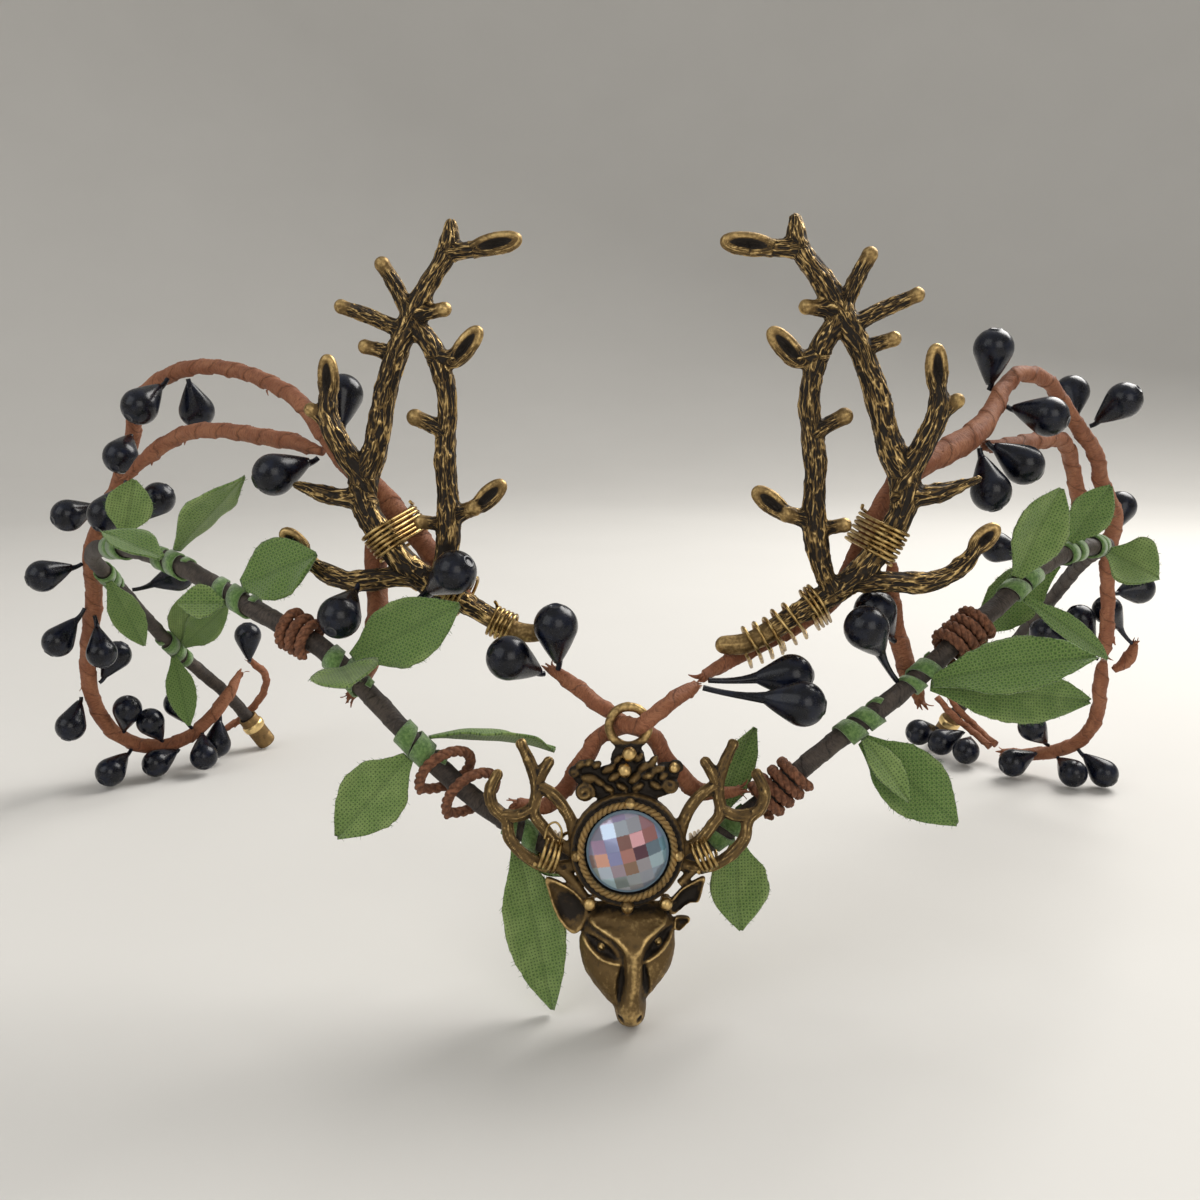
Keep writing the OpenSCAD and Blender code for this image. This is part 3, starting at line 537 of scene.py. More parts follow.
@cache
def wrap() -> NodeTree:
    """Paper or tape wound round a wire: its overlap lines, the tone of each turn and cross wrinkles."""
    g, into = open_group("wrap", {"Around": Kind.VECTOR, "Pitch": 6.0, "Wrinkle": 2.0})
    x, y, z = g.parts(into["Around"])
    angle = g.sum("DIVIDE", g.sum("ARCTAN2", y, x), TURN)
    phase = g.sum("FRACT", g.add(g.sum("DIVIDE", z, into["Pitch"]), angle))
    streaks = g.vector("MULTIPLY", into["Around"], (0.8, 0.8, 0.22))
    across = g.vector("MULTIPLY", into["Around"], (0.9, 0.9, 3.4))
    return close_group(g, {
        "Edge": g.sum("SUBTRACT", 1.0, g.step(phase, 0.0, 0.07)),
        "Tone": g.noise(streaks, 0.8),
        "Crease": g.noise(across, into["Wrinkle"], 4.0, 0.8)})


@cache
def weave() -> NodeTree:
    """A plain weave on a map in millimetres: the height of its threads, the gaps and the threads on top."""
    g, into = open_group("weave", {"Map": Kind.VECTOR, "Pitch": 0.45})
    drift = g.put("ShaderNodeTexNoise", {"Vector": into["Map"], "Scale": 0.5}).outputs["Color"]
    x, y, _ = g.parts(g.vector("ADD", into["Map"], g.scaled(drift, 0.5)))
    u, v = (g.sum("DIVIDE", g.times(q, math.pi), into["Pitch"]) for q in (x, y))
    across, down = (g.sum("ABSOLUTE", g.sum("SINE", q)) for q in (u, v))
    crossing = g.times(*(g.sum("SINE", g.add(q, math.pi / 2)) for q in (u, v)))
    over = g.step(crossing, -0.3, 0.3)
    height = g.sum("MAXIMUM", g.times(across, g.line(over, 0.4, 0.6)), g.times(down, g.line(over, -0.4, 1.0)))
    gap = g.sum("SUBTRACT", 1.0, g.step(g.sum("MAXIMUM", across, down), 0.35, 0.75))
    return close_group(g, {"Height": height, "Gap": gap, "Warp": over})


def rgb(r: float, g: float, b: float) -> tuple[float, float, float, float]:
    """A colour with full cover."""
    return r, g, b, 1.0


# Finishes
@dataclass(frozen=True)
class Finish:
    """A surface finish: its name, its material slot and the shader's own constants."""

    name: str
    slot: str
    constants: tuple[tuple[str, object], ...] = ()

    def paint(self, g: Graph) -> Sockets:
        """What changes over the surface, by the shader's socket that it goes to."""
        return {}

    def material(self) -> Material:
        """The finish as a material, made once."""
        found = bpy.data.materials.get(self.name)
        if found:
            return found
        made = bpy.data.materials.new(self.name)
        made.use_nodes = True
        g = Graph(made.node_tree)
        shader = made.node_tree.nodes["Principled BSDF"]
        for key, value in self.constants:
            shader.inputs[key].default_value = value
        for key, socket in self.paint(g).items():
            made.node_tree.links.new(socket, shader.inputs[key])
        return made


@dataclass(frozen=True)
class Casting(Finish):
    """Cast bronze with patina in its hollows and worn golden edges."""

    dark: tuple = rgb(0.018, 0.013, 0.009)
    middle: tuple = rgb(0.17, 0.11, 0.048)
    bright: tuple = rgb(0.62, 0.43, 0.18)

    def paint(self, g: Graph) -> Sockets:
        """Colours the metal by the relief and polish values that its mesh carries; in some pieces these also
        hold painted highlights and shade.
        """
        out = g.group(tarnish(), {
            "Relief": g.mark("relief"), "Place": g.place(), "Polish": g.mark("polish"),
            "Bark": g.mark("bark", "Vector"), "Barked": g.mark("barked"),
            "Dark": self.dark, "Middle": self.middle, "Bright": self.bright})
        return {"Base Color": out["Color"], "Metallic": out["Metallic"], "Roughness": out["Roughness"],
                "Normal": g.relief(out["Height"], 0.05)}


@dataclass(frozen=True)
class Mottled(Finish):
    """Two tones that run into each other, with a fine relief and an uneven gloss where it has them.

    The noise of the tones has the size spots, that of the relief the size grain.
    Rough holds the slope and the start of the roughness over the tones' noise.
    """

    main: tuple = rgb(0.075, 0.16, 0.035)
    pale: tuple = rgb(0.17, 0.29, 0.085)
    spots: float = 2.2
    detail: float = 5.0
    grain: float = 5.0
    depth: float = 0.15
    rough: tuple[float, ...] = ()

    def paint(self, g: Graph) -> Sockets:
        """Mixes the two tones."""
        spots = g.noise(g.place(), self.spots, self.detail)
        made = {"Base Color": g.mix(g.step(spots, 0.35, 0.7), self.main, self.pale)}
        if self.rough:
            made["Roughness"] = g.line(spots, *self.rough)
        if self.depth:
            made["Normal"] = g.relief(g.noise(g.place(), self.grain), self.depth)
        return made


@dataclass(frozen=True)
class Stone(Finish):
    """Facetted glass stone with its many-coloured lustre painted into each facet's colour, under a clear
    skin.
    """

    def paint(self, g: Graph) -> Sockets:
        """Takes each facet's colour, its painted reflections, from the mesh."""
        return {"Base Color": g.mark("flash", "Color")}


@dataclass(frozen=True)
class Wound(Finish):
    """Paper or tape wound round a wire."""

    # deep is the colour of the painted shade in the creases, along the overlap edges and at the shade marks.
    deep: tuple = rgb(0.05, 0.016, 0.008)
    main: tuple = rgb(0.25, 0.082, 0.033)
    pale: tuple = rgb(0.37, 0.15, 0.07)
    pitch: float = 6.0
    wrinkle: float = 1.6
    depth: float = 0.25

    def paint(self, g: Graph) -> Sockets:
        """Draws the overlap lines and wrinkles of the winding, with painted light on the crests and painted
        shade in the creases, along the overlap edges and at the shade marks.
        """
        out = g.group(wrap(), {
            "Around": g.mark("around", "Vector"), "Pitch": self.pitch, "Wrinkle": self.wrinkle})
        # Painted light: the tone is paler where the wrinkles stand up.
        tone = g.add(out["Tone"], g.line(out["Crease"], 0.8, -0.4))
        body = g.mix(g.step(tone, 0.3, 0.75), self.main, self.pale)
        # Painted shade in the creases of the wrinkles.
        creased = g.mix(g.line(g.step(out["Crease"], 0.3, 0.5), -0.3, 0.3), body, self.deep)
        # Painted shade along the overlap edges.
        lapped = g.mix(g.times(out["Edge"], 0.5), creased, self.deep)
        # Painted shade where the mesh's shade value says.
        return {"Base Color": g.mix(g.times(g.mark("shade"), 0.75), lapped, self.deep),
                "Normal": g.relief(g.line(out["Edge"], -0.5, out["Crease"]), self.depth)}


@dataclass(frozen=True)
class LeafCloth(Finish):
    """Green cloth of a plain weave, with painted shade in the gaps between its threads."""

    main: tuple = rgb(0.10, 0.19, 0.036)
    pale: tuple = rgb(0.27, 0.37, 0.12)
    # deep colours the veins and the painted shade in the weave's gaps.
    deep: tuple = rgb(0.028, 0.065, 0.014)
    pitch: float = 0.42

    def paint(self, g: Graph) -> Sockets:
        """Draws the weave on the leaf's own map, and its veins and paler edges."""
        here = g.scaled(g.put("ShaderNodeUVMap", uv_map="cloth").outputs[0], MAP_UNIT)
        out = g.group(weave(), {"Map": here, "Pitch": self.pitch})
        tone = g.add(g.line(g.noise(here, 0.25, 4.0), 1.4, -0.7), g.mark("shade"))
        body = g.mix(g.step(tone, -0.2, 0.7), self.main, self.pale)
        threads = g.mix(g.times(out["Warp"], 0.4), body, self.pale)
        # Painted shade in the gaps between the threads.
        shaded = g.mix(g.times(out["Gap"], 0.85), threads, self.deep)
        return {"Base Color": g.mix(g.times(g.mark("vein"), 0.25), shaded, self.deep),
                "Normal": g.relief(out["Height"], 0.12)}


@dataclass(frozen=True)
class BerrySkin(Finish):
    """Blue-black satin skin of uneven colour and gloss."""

    main: tuple = rgb(0.0015, 0.002, 0.005)
    pale: tuple = rgb(0.006, 0.009, 0.022)

    def paint(self, g: Graph) -> Sockets:
        """Varies the skin's colour and gloss."""
        cloud = g.noise(g.place(), 0.55, 4.0)
        fine = g.noise(g.place(), 3.0)
        return {"Base Color": g.mix(g.step(cloud, 0.35, 0.75), self.main, self.pale),
                "Roughness": g.line(g.add(cloud, fine), 0.16, 0.12), "Normal": g.relief(fine, 0.015)}


@dataclass(frozen=True)
class Ground(Finish):
    """A matt ground for the studio floor."""

    def paint(self, g: Graph) -> Sockets:
        """Leaves the floor in one pale tone with a faint cloudiness."""
        cloud = g.noise(g.place(), 0.01, 2.0)
        return {"Base Color": g.mix(cloud, rgb(0.68, 0.665, 0.635), rgb(0.72, 0.705, 0.675))}


BRONZE = Casting("cast_bronze", "bronze")
GILT = Casting("worn_bronze", "bronze", dark=rgb(0.02, 0.014, 0.008), middle=rgb(0.36, 0.24, 0.10),
               bright=rgb(0.80, 0.58, 0.27))
FERRULE = Casting("turned_bronze", "ferrule_bronze", middle=rgb(0.28, 0.18, 0.08),
                  bright=rgb(0.85, 0.62, 0.28))
BRASS = Mottled("lashing_wire", "brass_wire", (("Metallic", 1.0),), rgb(0.26, 0.16, 0.055),
                rgb(0.64, 0.46, 0.19), 0.8, 3.0, depth=0.0, rough=(0.3, 0.15))
LUSTRE = Stone("cut_stone", "stone", (
    ("Roughness", 0.07), ("Metallic", 0.25), ("Coat Weight", 1.0), ("Coat Roughness", 0.02), ("IOR", 1.6)))
TAPE = Wound("wound_tape", "stem_tape", (("Roughness", 0.62),), rgb(0.006, 0.005, 0.004),
             rgb(0.028, 0.020, 0.016), rgb(0.075, 0.056, 0.043), 4.2, 1.5, 0.2)
PAPER = Wound("wound_paper", "vine_paper", (("Roughness", 0.68),))
TWINE = Mottled("laid_cord", "paper_cord", (("Roughness", 0.82),), rgb(0.10, 0.036, 0.015),
                rgb(0.26, 0.105, 0.05), 1.6, 5.0, 6.0, 0.1)
CLOTH = LeafCloth("woven_leaf", "leaf_cloth", (("Roughness", 0.85), ("Sheen Weight", 0.25)))
FLORAL = Mottled("floral_tape", "leaf_cloth", (("Roughness", 0.9), ("Sheen Weight", 0.4)))
THREAD = Mottled("loose_thread", "leaf_cloth", (("Roughness", 0.9),), rgb(0.06, 0.13, 0.04),
                 rgb(0.15, 0.25, 0.10))
SKIN = BerrySkin("satin_berry", "berry_skin", (
    ("Specular IOR Level", 0.25), ("Coat Weight", 0.2), ("Coat Roughness", 0.15)))
FLOOR = Ground("pale_floor", "floor", (("Roughness", 0.75),))


# Pieces
@dataclass(frozen=True)
class Seat:
    """Where a piece's own frame stands in the tiara, before the whole is moved home."""

    shift: Point = (0.0, 0.0, 0.0)
    turn: Point = (0.0, 0.0, 0.0)
    mirrored: bool = False

    def set(self, v: Array) -> Array:
        """The points moved from the piece's frame to the tiara's, in millimetres."""
        v = v * np.array([-1.0, 1.0, 1.0]) if self.mirrored else v
        return v @ turned(self.turn) + np.array(self.shift)


UPRIGHT = Seat()
ON_LEFT = Seat((-11.8, 18, 49.1), (0, 0, -8), True)
ON_RIGHT = Seat((13.5, 14, 48.2), (0, -4, 0))
ON_DEER = Seat((0, 0, -0.4), (-8.5, 0, 0))


def place(v: Array) -> Array:
    """Points of the tiara in metres, in the frame of the CAD."""
    return (v + HOME) * MM


def make_object(name: str, mesh: Mesh, marks: dict[str, Array] | None = None, uv: Array | None = None,
                edges: Sequence[tuple[int, int]] = ()) -> Object:
    """An object in metres from points and faces in millimetres.

    Args:
        name: the object's name
        mesh: points and faces
        marks: values, vectors or colours at the points, by name
        uv: the map at each point, in hundreds of millimetres
        edges: loose edges

    Returns:
        The object.
    """
    v, faces = mesh
    data = bpy.data.meshes.new(name)
    data.from_pydata(place(v).tolist(), list(edges), faces)
    for key, values in (marks or {}).items():
        values = np.asarray(values, float)
        kind, slot = (("FLOAT", "value") if values.ndim == 1 else
                      ("FLOAT_VECTOR", "vector") if values.shape[1] == 3 else ("FLOAT_COLOR", "color"))
        data.attributes.new(key, kind, "POINT").data.foreach_set(slot, values.ravel())
    if uv is not None:
        corners = np.empty(len(data.loops), dtype=np.int64)
        data.loops.foreach_get("vertex_index", corners)
        data.uv_layers.new(name="cloth").data.foreach_set("uv", uv[corners].ravel())
    data.polygons.foreach_set("use_smooth", np.ones(len(data.polygons), dtype=bool))
    return linked(name, data)


def fit(ob: Object, finish: Finish, nodes: Sequence[str] = ()) -> None:
    """Dresses a piece, ties it to the tiara and lets it stand for its CAD nodes.

    Args:
        ob: the finished piece
        finish: its finish
        nodes: the CAD nodes that it stands for
    """
    if not ob.data.materials:
        ob.data.materials.append(finish.material())
    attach(ob, "root")
    if nodes:
        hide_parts(*nodes)
    log.info("%s: %d faces, %s", ob.name, len(ob.data.polygons), finish.slot)


# Geometry Nodes trees
def end_tree(g: Graph, shape: NodeSocket, finish: NodeSocket) -> NodeTree:
    """Ends a tree with its copies made real and its finish set."""
    whole = g.put("GeometryNodeRealizeInstances", {0: shape}).outputs[0]
    dressed = g.put("GeometryNodeSetMaterial", {"Geometry": whole, "Material": finish}).outputs[0]
    return close_group(g, {"Geometry": dressed})


@cache
def wire_tree() -> NodeTree:
    """A round wire along the edges of a mesh, its thickness from the point value thick, in metres."""
    g, into = open_group("wire along a path", {
        "Geometry": Kind.SHAPE, "Sides": 8, "Fullness": 1.0, "Finish": Kind.MATERIAL}, "GeometryNodeTree")
    path = g.put("GeometryNodeMeshToCurve", {0: into["Geometry"]}).outputs[0]
    ring = g.put("GeometryNodeCurvePrimitiveCircle", {
        "Resolution": into["Sides"], "Radius": into["Fullness"]}).outputs[0]
    thick = g.put("GeometryNodeInputNamedAttribute", {"Name": "thick"}).outputs[0]
    rod = g.put("GeometryNodeCurveToMesh", {
        "Curve": path, "Profile Curve": ring, "Scale": thick, "Fill Caps": True}).outputs[0]
    return end_tree(g, g.put("GeometryNodeSetShadeSmooth", {"Geometry": rod}).outputs[0], into["Finish"])


@cache
def copies_tree() -> NodeTree:
    """Copies of one shape on points, turned by the point value turn and sized by the point value size."""
    g, into = open_group("copies on points", {
        "Geometry": Kind.SHAPE, "Shape": Kind.OBJECT, "Size": 1.0, "Spread": 0.05, "Seed": 7,
        "Finish": Kind.MATERIAL}, "GeometryNodeTree")
    shape = g.put("GeometryNodeObjectInfo", {"Object": into["Shape"]}).outputs["Geometry"]
    turn = g.put("GeometryNodeInputNamedAttribute", {"Name": "turn"}, data_type="FLOAT_VECTOR").outputs[0]
    spin = g.put("FunctionNodeEulerToRotation", {0: turn}).outputs[0]
    size = g.put("GeometryNodeInputNamedAttribute", {"Name": "size"}).outputs[0]
    least, most = g.sum("SUBTRACT", 1.0, into["Spread"]), g.add(1.0, into["Spread"])
    vary = g.put("FunctionNodeRandomValue", {2: least, 3: most, "Seed": into["Seed"]}).outputs[1]
    scale = g.times(g.times(size, into["Size"]), vary)
    placed = g.put("GeometryNodeInstanceOnPoints", {
        "Points": into["Geometry"], "Instance": shape, "Rotation": spin, "Scale": scale}).outputs[0]
    return end_tree(g, placed, into["Finish"])


def grown(ob: Object, tree: NodeTree, inputs: dict[str, object]) -> Object:
    """Runs a Geometry Nodes tree on an object and keeps the result as its plain mesh.

    Args:
        ob: the object
        tree: the tree
        inputs: values for the tree's named inputs

    Returns:
        The same object.
    """
    mod = ob.modifiers.new("grow", "NODES")
    mod.node_group = tree
    for item in tree.interface.items_tree:
        if item.name in inputs:
            mod[item.identifier] = inputs[item.name]
    depsgraph = bpy.context.evaluated_depsgraph_get()
    made = bpy.data.meshes.new_from_object(ob.evaluated_get(depsgraph), depsgraph=depsgraph)
    ob.modifiers.clear()
    ob.data = made
    made.name = ob.name
    return ob


def wire(name: str, paths: Sequence[Array], finish: Finish, sides: int = 8) -> Object:
    """Round wires along paths.

    Args:
        name: the piece's name
        paths: points in millimetres with the wire's radius as the fourth column
        finish: the wires' finish
        sides: sides of their section

    Returns:
        The wires as one object.
    """
    edges: list[tuple[int, int]] = []
    start = 0
    for p in paths:
        edges += [(start + i, start + i + 1) for i in range(len(p) - 1)]
        start += len(p)
    rows = np.vstack(paths)
    ob = make_object(name, (rows[:, :3], []), {"thick": rows[:, 3] * MM}, edges=edges)
    return grown(ob, wire_tree(), {"Sides": sides, "Finish": finish.material()})


def copies(name: str, shape: Mesh, places: Array, turns: Array, sizes: Array, finish: Finish,
           spread: float = 0.0) -> Object:
    """Copies of a shape.

    Args:
        name: the piece's name
        shape: the shape round its own origin, in millimetres
        places: where the copies go, in millimetres
        turns: their turns in radians
        sizes: their sizes
        finish: their finish
        spread: how much their sizes vary

    Returns:
        The copies as one object.
    """
    v, faces = shape
    pattern = make_object(name + "_pattern", (v - HOME, faces))
    ob = make_object(name, (places, []), {"turn": turns, "size": sizes})
    grown(ob, copies_tree(), {"Shape": pattern, "Spread": spread, "Finish": finish.material()})
    bpy.data.objects.remove(pattern)
    return ob


def heading(directions: Array, roll: float = 0.0) -> Array:
    """The turns in radians that aim Z along each direction."""
    spin = Matrix.Rotation(roll, 3, "Z")
    return np.array([(Vector(d).to_track_quat("Z", "Y").to_matrix() @ spin).to_euler() for d in directions])


# Wound wires: the stem, the vines and their torn ends
def ribbon(path: Array, width: Array, up: Array, thick: float = 0.1) -> Mesh:
    """A thin strip along a path.

    Args:
        path: its middle line
        width: its width at each point
        up: the direction that it faces at each point
        thick: its thickness

    Returns:
        The strip as a closed skin.
    """
    t, _, _ = carried(path)
    n = unit(up - np.einsum("ij,ij->i", up, t)[:, None] * t)
    s = np.cross(n, t) * width[:, None] / 2
    n = thick / 2 * n
    return skin(np.stack([path + c for c in (-s - n, s - n, s + n, -s + n)], axis=1))


def shreds(end: Array, out: Array, radius: float, count: int, reach: float, seed: int) -> list[Mesh]:
    """Torn strips of paper that curl away from the end of a vine.

    Args:
        end: the middle of the vine's end
        out: the direction that the vine ends in
        radius: the vine's radius there
        count: how many strips
        reach: length of the longest strip
        seed: picks their shapes

    Returns:
        The strips.
    """
    chance = np.random.default_rng(seed)
    side = square_to([0.3, 0.2, 1.0], out)
    back = np.cross(out, side)
    made = []
    for k in range(count):
        a = TURN * (k + chance.uniform(-0.3, 0.3)) / count
        away = math.cos(a) * side + math.sin(a) * back
        length = reach * chance.uniform(0.4, 1.0)
        curl = chance.uniform(-0.6, 1.5)
        t = np.linspace(0, 1, 8)[:, None]
        aside = np.cross(out, away) * (chance.uniform(-0.4, 0.4) * t**2)
        path = (end + (radius * 0.8) * away - 0.6 * out + out * (length * t) * (1 - 0.35 * abs(curl) * t) +
                away * (0.45 * length * curl * t**2) + aside)
        width = chance.uniform(0.45, 1.0) * (1 - 0.85 * t[:, 0]**1.5)
        made.append(ribbon(path, width, np.tile(away, (8, 1))))
    return made


@dataclass
class Winding:
    """A wire wound in a strip of paper or tape whose overlaps stand up a little.

    Each row of the route is a place and a radius, and the pitch is the distance between two overlaps.
    """

    name: str
    route: Rows
    finish: Finish = PAPER
    pitch: float = 6.0
    lap: float = 0.26
    ruffle: float = 0.13
    sides: int = 22
    step: float = 0.4
    torn: tuple[int, int] = (5, 5)
    seed: int = 1
    shred: float = 2.6
    tear: float = 2.2
    tears_apart: float = 16.0

    def skin(self) -> tuple[Mesh, dict[str, Array]]:
        """The wound wire.

        Returns:
            The mesh and the values that its finish reads.
        """
        p, s = even(self.route, self.step)
        a = circle(self.sides)
        along = s[:, None] + 0 * a
        grid = np.stack([np.cos(a) + 0 * along, np.sin(a) + 0 * along, along], axis=-1)
        grid[..., 2] += mottle(grid * [1.2, 1.2, 0.25], self.seed) * 0.13 * self.pitch
        phase = np.mod(grid[..., 2] / self.pitch + a / TURN, 1.0)
        lapped = self.lap * (1 - phase)**2 * ease_in(phase, 0, 0.06)
        folds = 1 - 2 * np.abs(mottle(grid * [1.6, 1.6, 1.3], self.seed + 5))
        lumps = mottle(grid * [1.1, 1.1, 0.35], self.seed + 9)
        swell = lapped + self.ruffle * (0.7 * folds + 0.8 * lumps) - 0.3 * self.lap
        mesh = tube(p, self.sides, swell)
        grid[..., :2] *= p[:, None, 3:4]
        around = np.vstack([grid.reshape(-1, 3), [[0.1, 0.1, 0.0], [0.1, 0.1, s[-1]]]])
        shade = np.concatenate([ease_in(-folds, -0.2, 0.9).ravel() * 0.5, [0.7, 0.7]])
        return mesh, {"around": around, "shade": shade}

    def ends(self) -> list[Mesh]:
        """The torn strips at its two ends, and the small tears along a paper vine."""
        p = smooth(self.route, 2)
        made: list[Mesh] = []
        for count, tip, inner in ((self.torn[0], p[0], p[1]), (self.torn[1], p[-1], p[-2])):
            if count:
                away = unit(tip[:3] - inner[:3])
                made += shreds(tip[:3], away, tip[3], count, self.shred, self.seed + count + len(made))
        if self.finish is PAPER:
            line, s = even(self.route, 1.0)
            t, side, back = carried(line)
            chance = np.random.default_rng(300 + self.seed)
            for at in chance.uniform(4, s[-1] - 3, int(s[-1] / self.tears_apart)):
                i, a = int(at), chance.uniform(0, TURN)
                off = 0.75 * line[i, 3] * (math.cos(a) * side[i] + math.sin(a) * back[i])
                made += shreds(line[i, :3] + off, t[i], 0.45, 2, self.tear, int(100 * at))
        return made

    def build(self) -> None:
        """Makes the piece with its torn ends and dresses it."""
        mesh, marks = self.skin()
        torn = self.ends()
        if torn:
            extra, faces = join(torn)
            around = np.column_stack([extra[:, 0] * 0.7, extra[:, 1] * 0.7, extra[:, 2]])
            marks = {"around": np.vstack([marks["around"], around]),
                     "shade": np.concatenate([marks["shade"], np.zeros(len(extra))])}
            mesh = join([mesh, (extra, faces)])
        fit(make_object(self.name, mesh, marks), self.finish, [self.name.removesuffix("_wound")])


@dataclass
class Vines:
    """The paper vines of the front, the two sides and their spurs, struts and ties.

    Each row is a CAD node, its radius, the torn strips at its two ends, the seed of its folds, the distance
    between the overlaps of its paper, and its places, with a radius each where the row's own radius is 0.
    """

    routes: tuple = (
        ("vine_brow", 1, (5, 4), 11, 4.5, (
            (-10.5, 12.5, 45.2), (-7.5, 10.5, 43.7), (-4.5, 9.2, 41.6), (-2, 8.3, 40), (0.2, 5.8, 39.1),
            (2.4, 3.5, 40.2), (5, 3.8, 42.4), (7.6, 5.5, 43.7), (9, 6.8, 44.2))),
        ("vine_hanger", 1.1, (6, 7), 12, 5.0, (
            (-15, 8.5, 27.2), (-11, 9.5, 26.7), (-8.5, 9.5, 29), (-5.5, 8.5, 34), (-3.5, 8.9, 36.7),
            (0, 9.4, 38), (3.5, 8.7, 36.7), (5.5, 8, 33.5), (10, 8.5, 29), (15.5, 9, 29))),
        ("vine_left", 0, (5, 4), 13, 6.0, (
            (-22, 22.5, 52.5, 1.5), (-25.5, 23.5, 56.5, 1.6), (-28.5, 24.5, 60, 1.6), (-31.5, 25, 63.5, 1.6),
            (-35.5, 25.5, 68, 1.7), (-39, 25, 72, 1.8), (-42, 25.5, 75.5, 1.6), (-47.5, 30, 81, 1.2),
            (-53, 36, 83.7, 1.2), (-60, 44, 85.7, 1.2), (-68, 52, 86.8, 1.2), (-75, 58, 86.2, 1.3),
            (-81, 62, 84, 1.3), (-85.5, 66, 80.5, 1.3), (-88.5, 70, 75, 1.4), (-91, 72, 69.5, 1.4),
            (-96.5, 75.5, 60.5, 1.5), (-101, 78, 53, 1.6), (-104, 84, 42.5, 1.6), (-107.5, 88, 33, 1.6),
            (-110, 92, 24, 1.5), (-110.5, 96, 16.5, 1.5), (-108.5, 99, 10.5, 1.5), (-104, 101, 7, 1.5),
            (-99.5, 104, 6, 1.5), (-95, 106.5, 7.5, 1.4), (-91, 108, 11, 1.4), (-87, 110, 16, 1.3),
            (-85, 113, 20.5, 1.2))),
        ("spur_left", 1.2, (0, 4), 14, 6.0, (
            (-43.9, 26.6, 74), (-48.5, 30, 75.3), (-53.5, 34, 75.8), (-61, 41, 76.5), (-68.5, 47, 76.5),
            (-74.5, 52, 75), (-80, 55, 72), (-84.5, 57, 68.5))),
        ("strut_left", 1.5, (0, 6), 15, 6.0, (
            (-35.9, 26, 64.6), (-36.5, 25.6, 59), (-36, 23.8, 53.5), (-36, 20.8, 48), (-37, 18.5, 43.5),
            (-39, 17, 40))),
        ("tie_left", 0.8, (4, 4), 16, 4.0, (
            (-84, 116.5, 22.5), (-81.5, 120, 18), (-83.3, 122.3, 12.5), (-88, 122, 7.3), (-92, 119, 4.9))),
        ("vine_right", 0, (5, 3), 17, 6.0, (
            (10.2, 10, 44.5, 1), (13, 14, 45.2, 1), (17, 16.5, 46.5, 1), (20.5, 17.3, 48.3, 1.1),
            (25, 17.3, 51, 1.2), (29.5, 17.6, 54.5, 1.3), (32, 18, 59.5, 1.3), (34.5, 18, 65, 1.3),
            (37, 19.5, 69, 1.4), (40.5, 21.5, 71.8, 1.6), (46, 25.5, 74, 1.8), (51.5, 30, 76.5, 1.8),
            (55.5, 35, 79.5, 1.5), (58.5, 39, 83, 1.3), (62, 42, 85.5, 1.2), (68.5, 48, 84.5, 1.2),
            (72.5, 52, 81.5, 1.2), (77.5, 56, 76.7, 1.3), (82.5, 60, 72, 1.3), (85.5, 64, 67, 1.3),
            (90.5, 69, 60.5, 1.4), (92, 73, 55.5, 1.4), (93, 76, 50.5, 1.3), (95.5, 80, 42.5, 1.3),
            (97.5, 84, 34, 1.3), (99, 87.5, 30, 1.3))),
        ("spur_right", 1.3, (0, 5), 18, 6.0, (
            (53.4, 31.2, 74.7), (60, 38, 74.5), (67.5, 46, 75), (73.5, 53, 74.8), (77.5, 59, 72),
            (80, 62.5, 68), (83, 66, 62.5), (85.5, 68, 58))),
        ("fork_right", 1.3, (7, 0), 19, 4.5, ((106, 90, 32), (105.2, 90.3, 28.8), (102.5, 90.6, 26.2))),
        ("tail_right", 1.4, (0, 4), 20, 6.0, (
            (99.3, 88.6, 28.7), (100.1, 90.8, 25.5), (100.9, 92.8, 21), (102, 95.5, 15.5), (100.5, 97.5, 10),
            (96.5, 99.5, 6.5), (91.5, 103, 4.3), (86.5, 107.5, 3.5))),
        ("strut_right", 1.3, (0, 6), 22, 6.0, (
            (37.5, 19, 59), (37.5, 19, 54), (38.5, 19.8, 49.5), (40, 20.5, 45.5), (41.5, 20.5, 41.5),
            (42.5, 19, 38.5))))
    ties: tuple = (
        ((86, 110, 4.3), (83.5, 114, 6.5), (79.5, 117.8, 10.5), (77, 119.5, 14.5)),
        ((84.5, 109.5, 4), (81.5, 113.5, 6.5), (77.8, 117, 9.5), (75, 119.5, 13)))
    tie_r: float = 0.7

    def build(self) -> None:
        """Makes every vine, and the two ties of the right end as one piece."""
        for name, radius, torn, seed, pitch, route in self.routes:
            rows = [(*row[:3], radius or row[3]) for row in route]
            for end in (0, -1):
                rows[end] = (*rows[end][:3], TORN_R)
            Winding(name + "_wound", rows, PAPER, pitch, torn=torn, seed=seed).build()
        made = [Winding("tie", [(*q, self.tie_r) for q in route], pitch=3.5, torn=(0, 0), seed=23 + i).skin()
                for i, route in enumerate(self.ties)]
        mesh = join([m for m, _ in made])
        marks = {key: np.concatenate([m[key] for _, m in made]) for key in ("around", "shade")}
        fit(make_object("tie_right_wound", mesh, marks), PAPER, ["tie_right"])


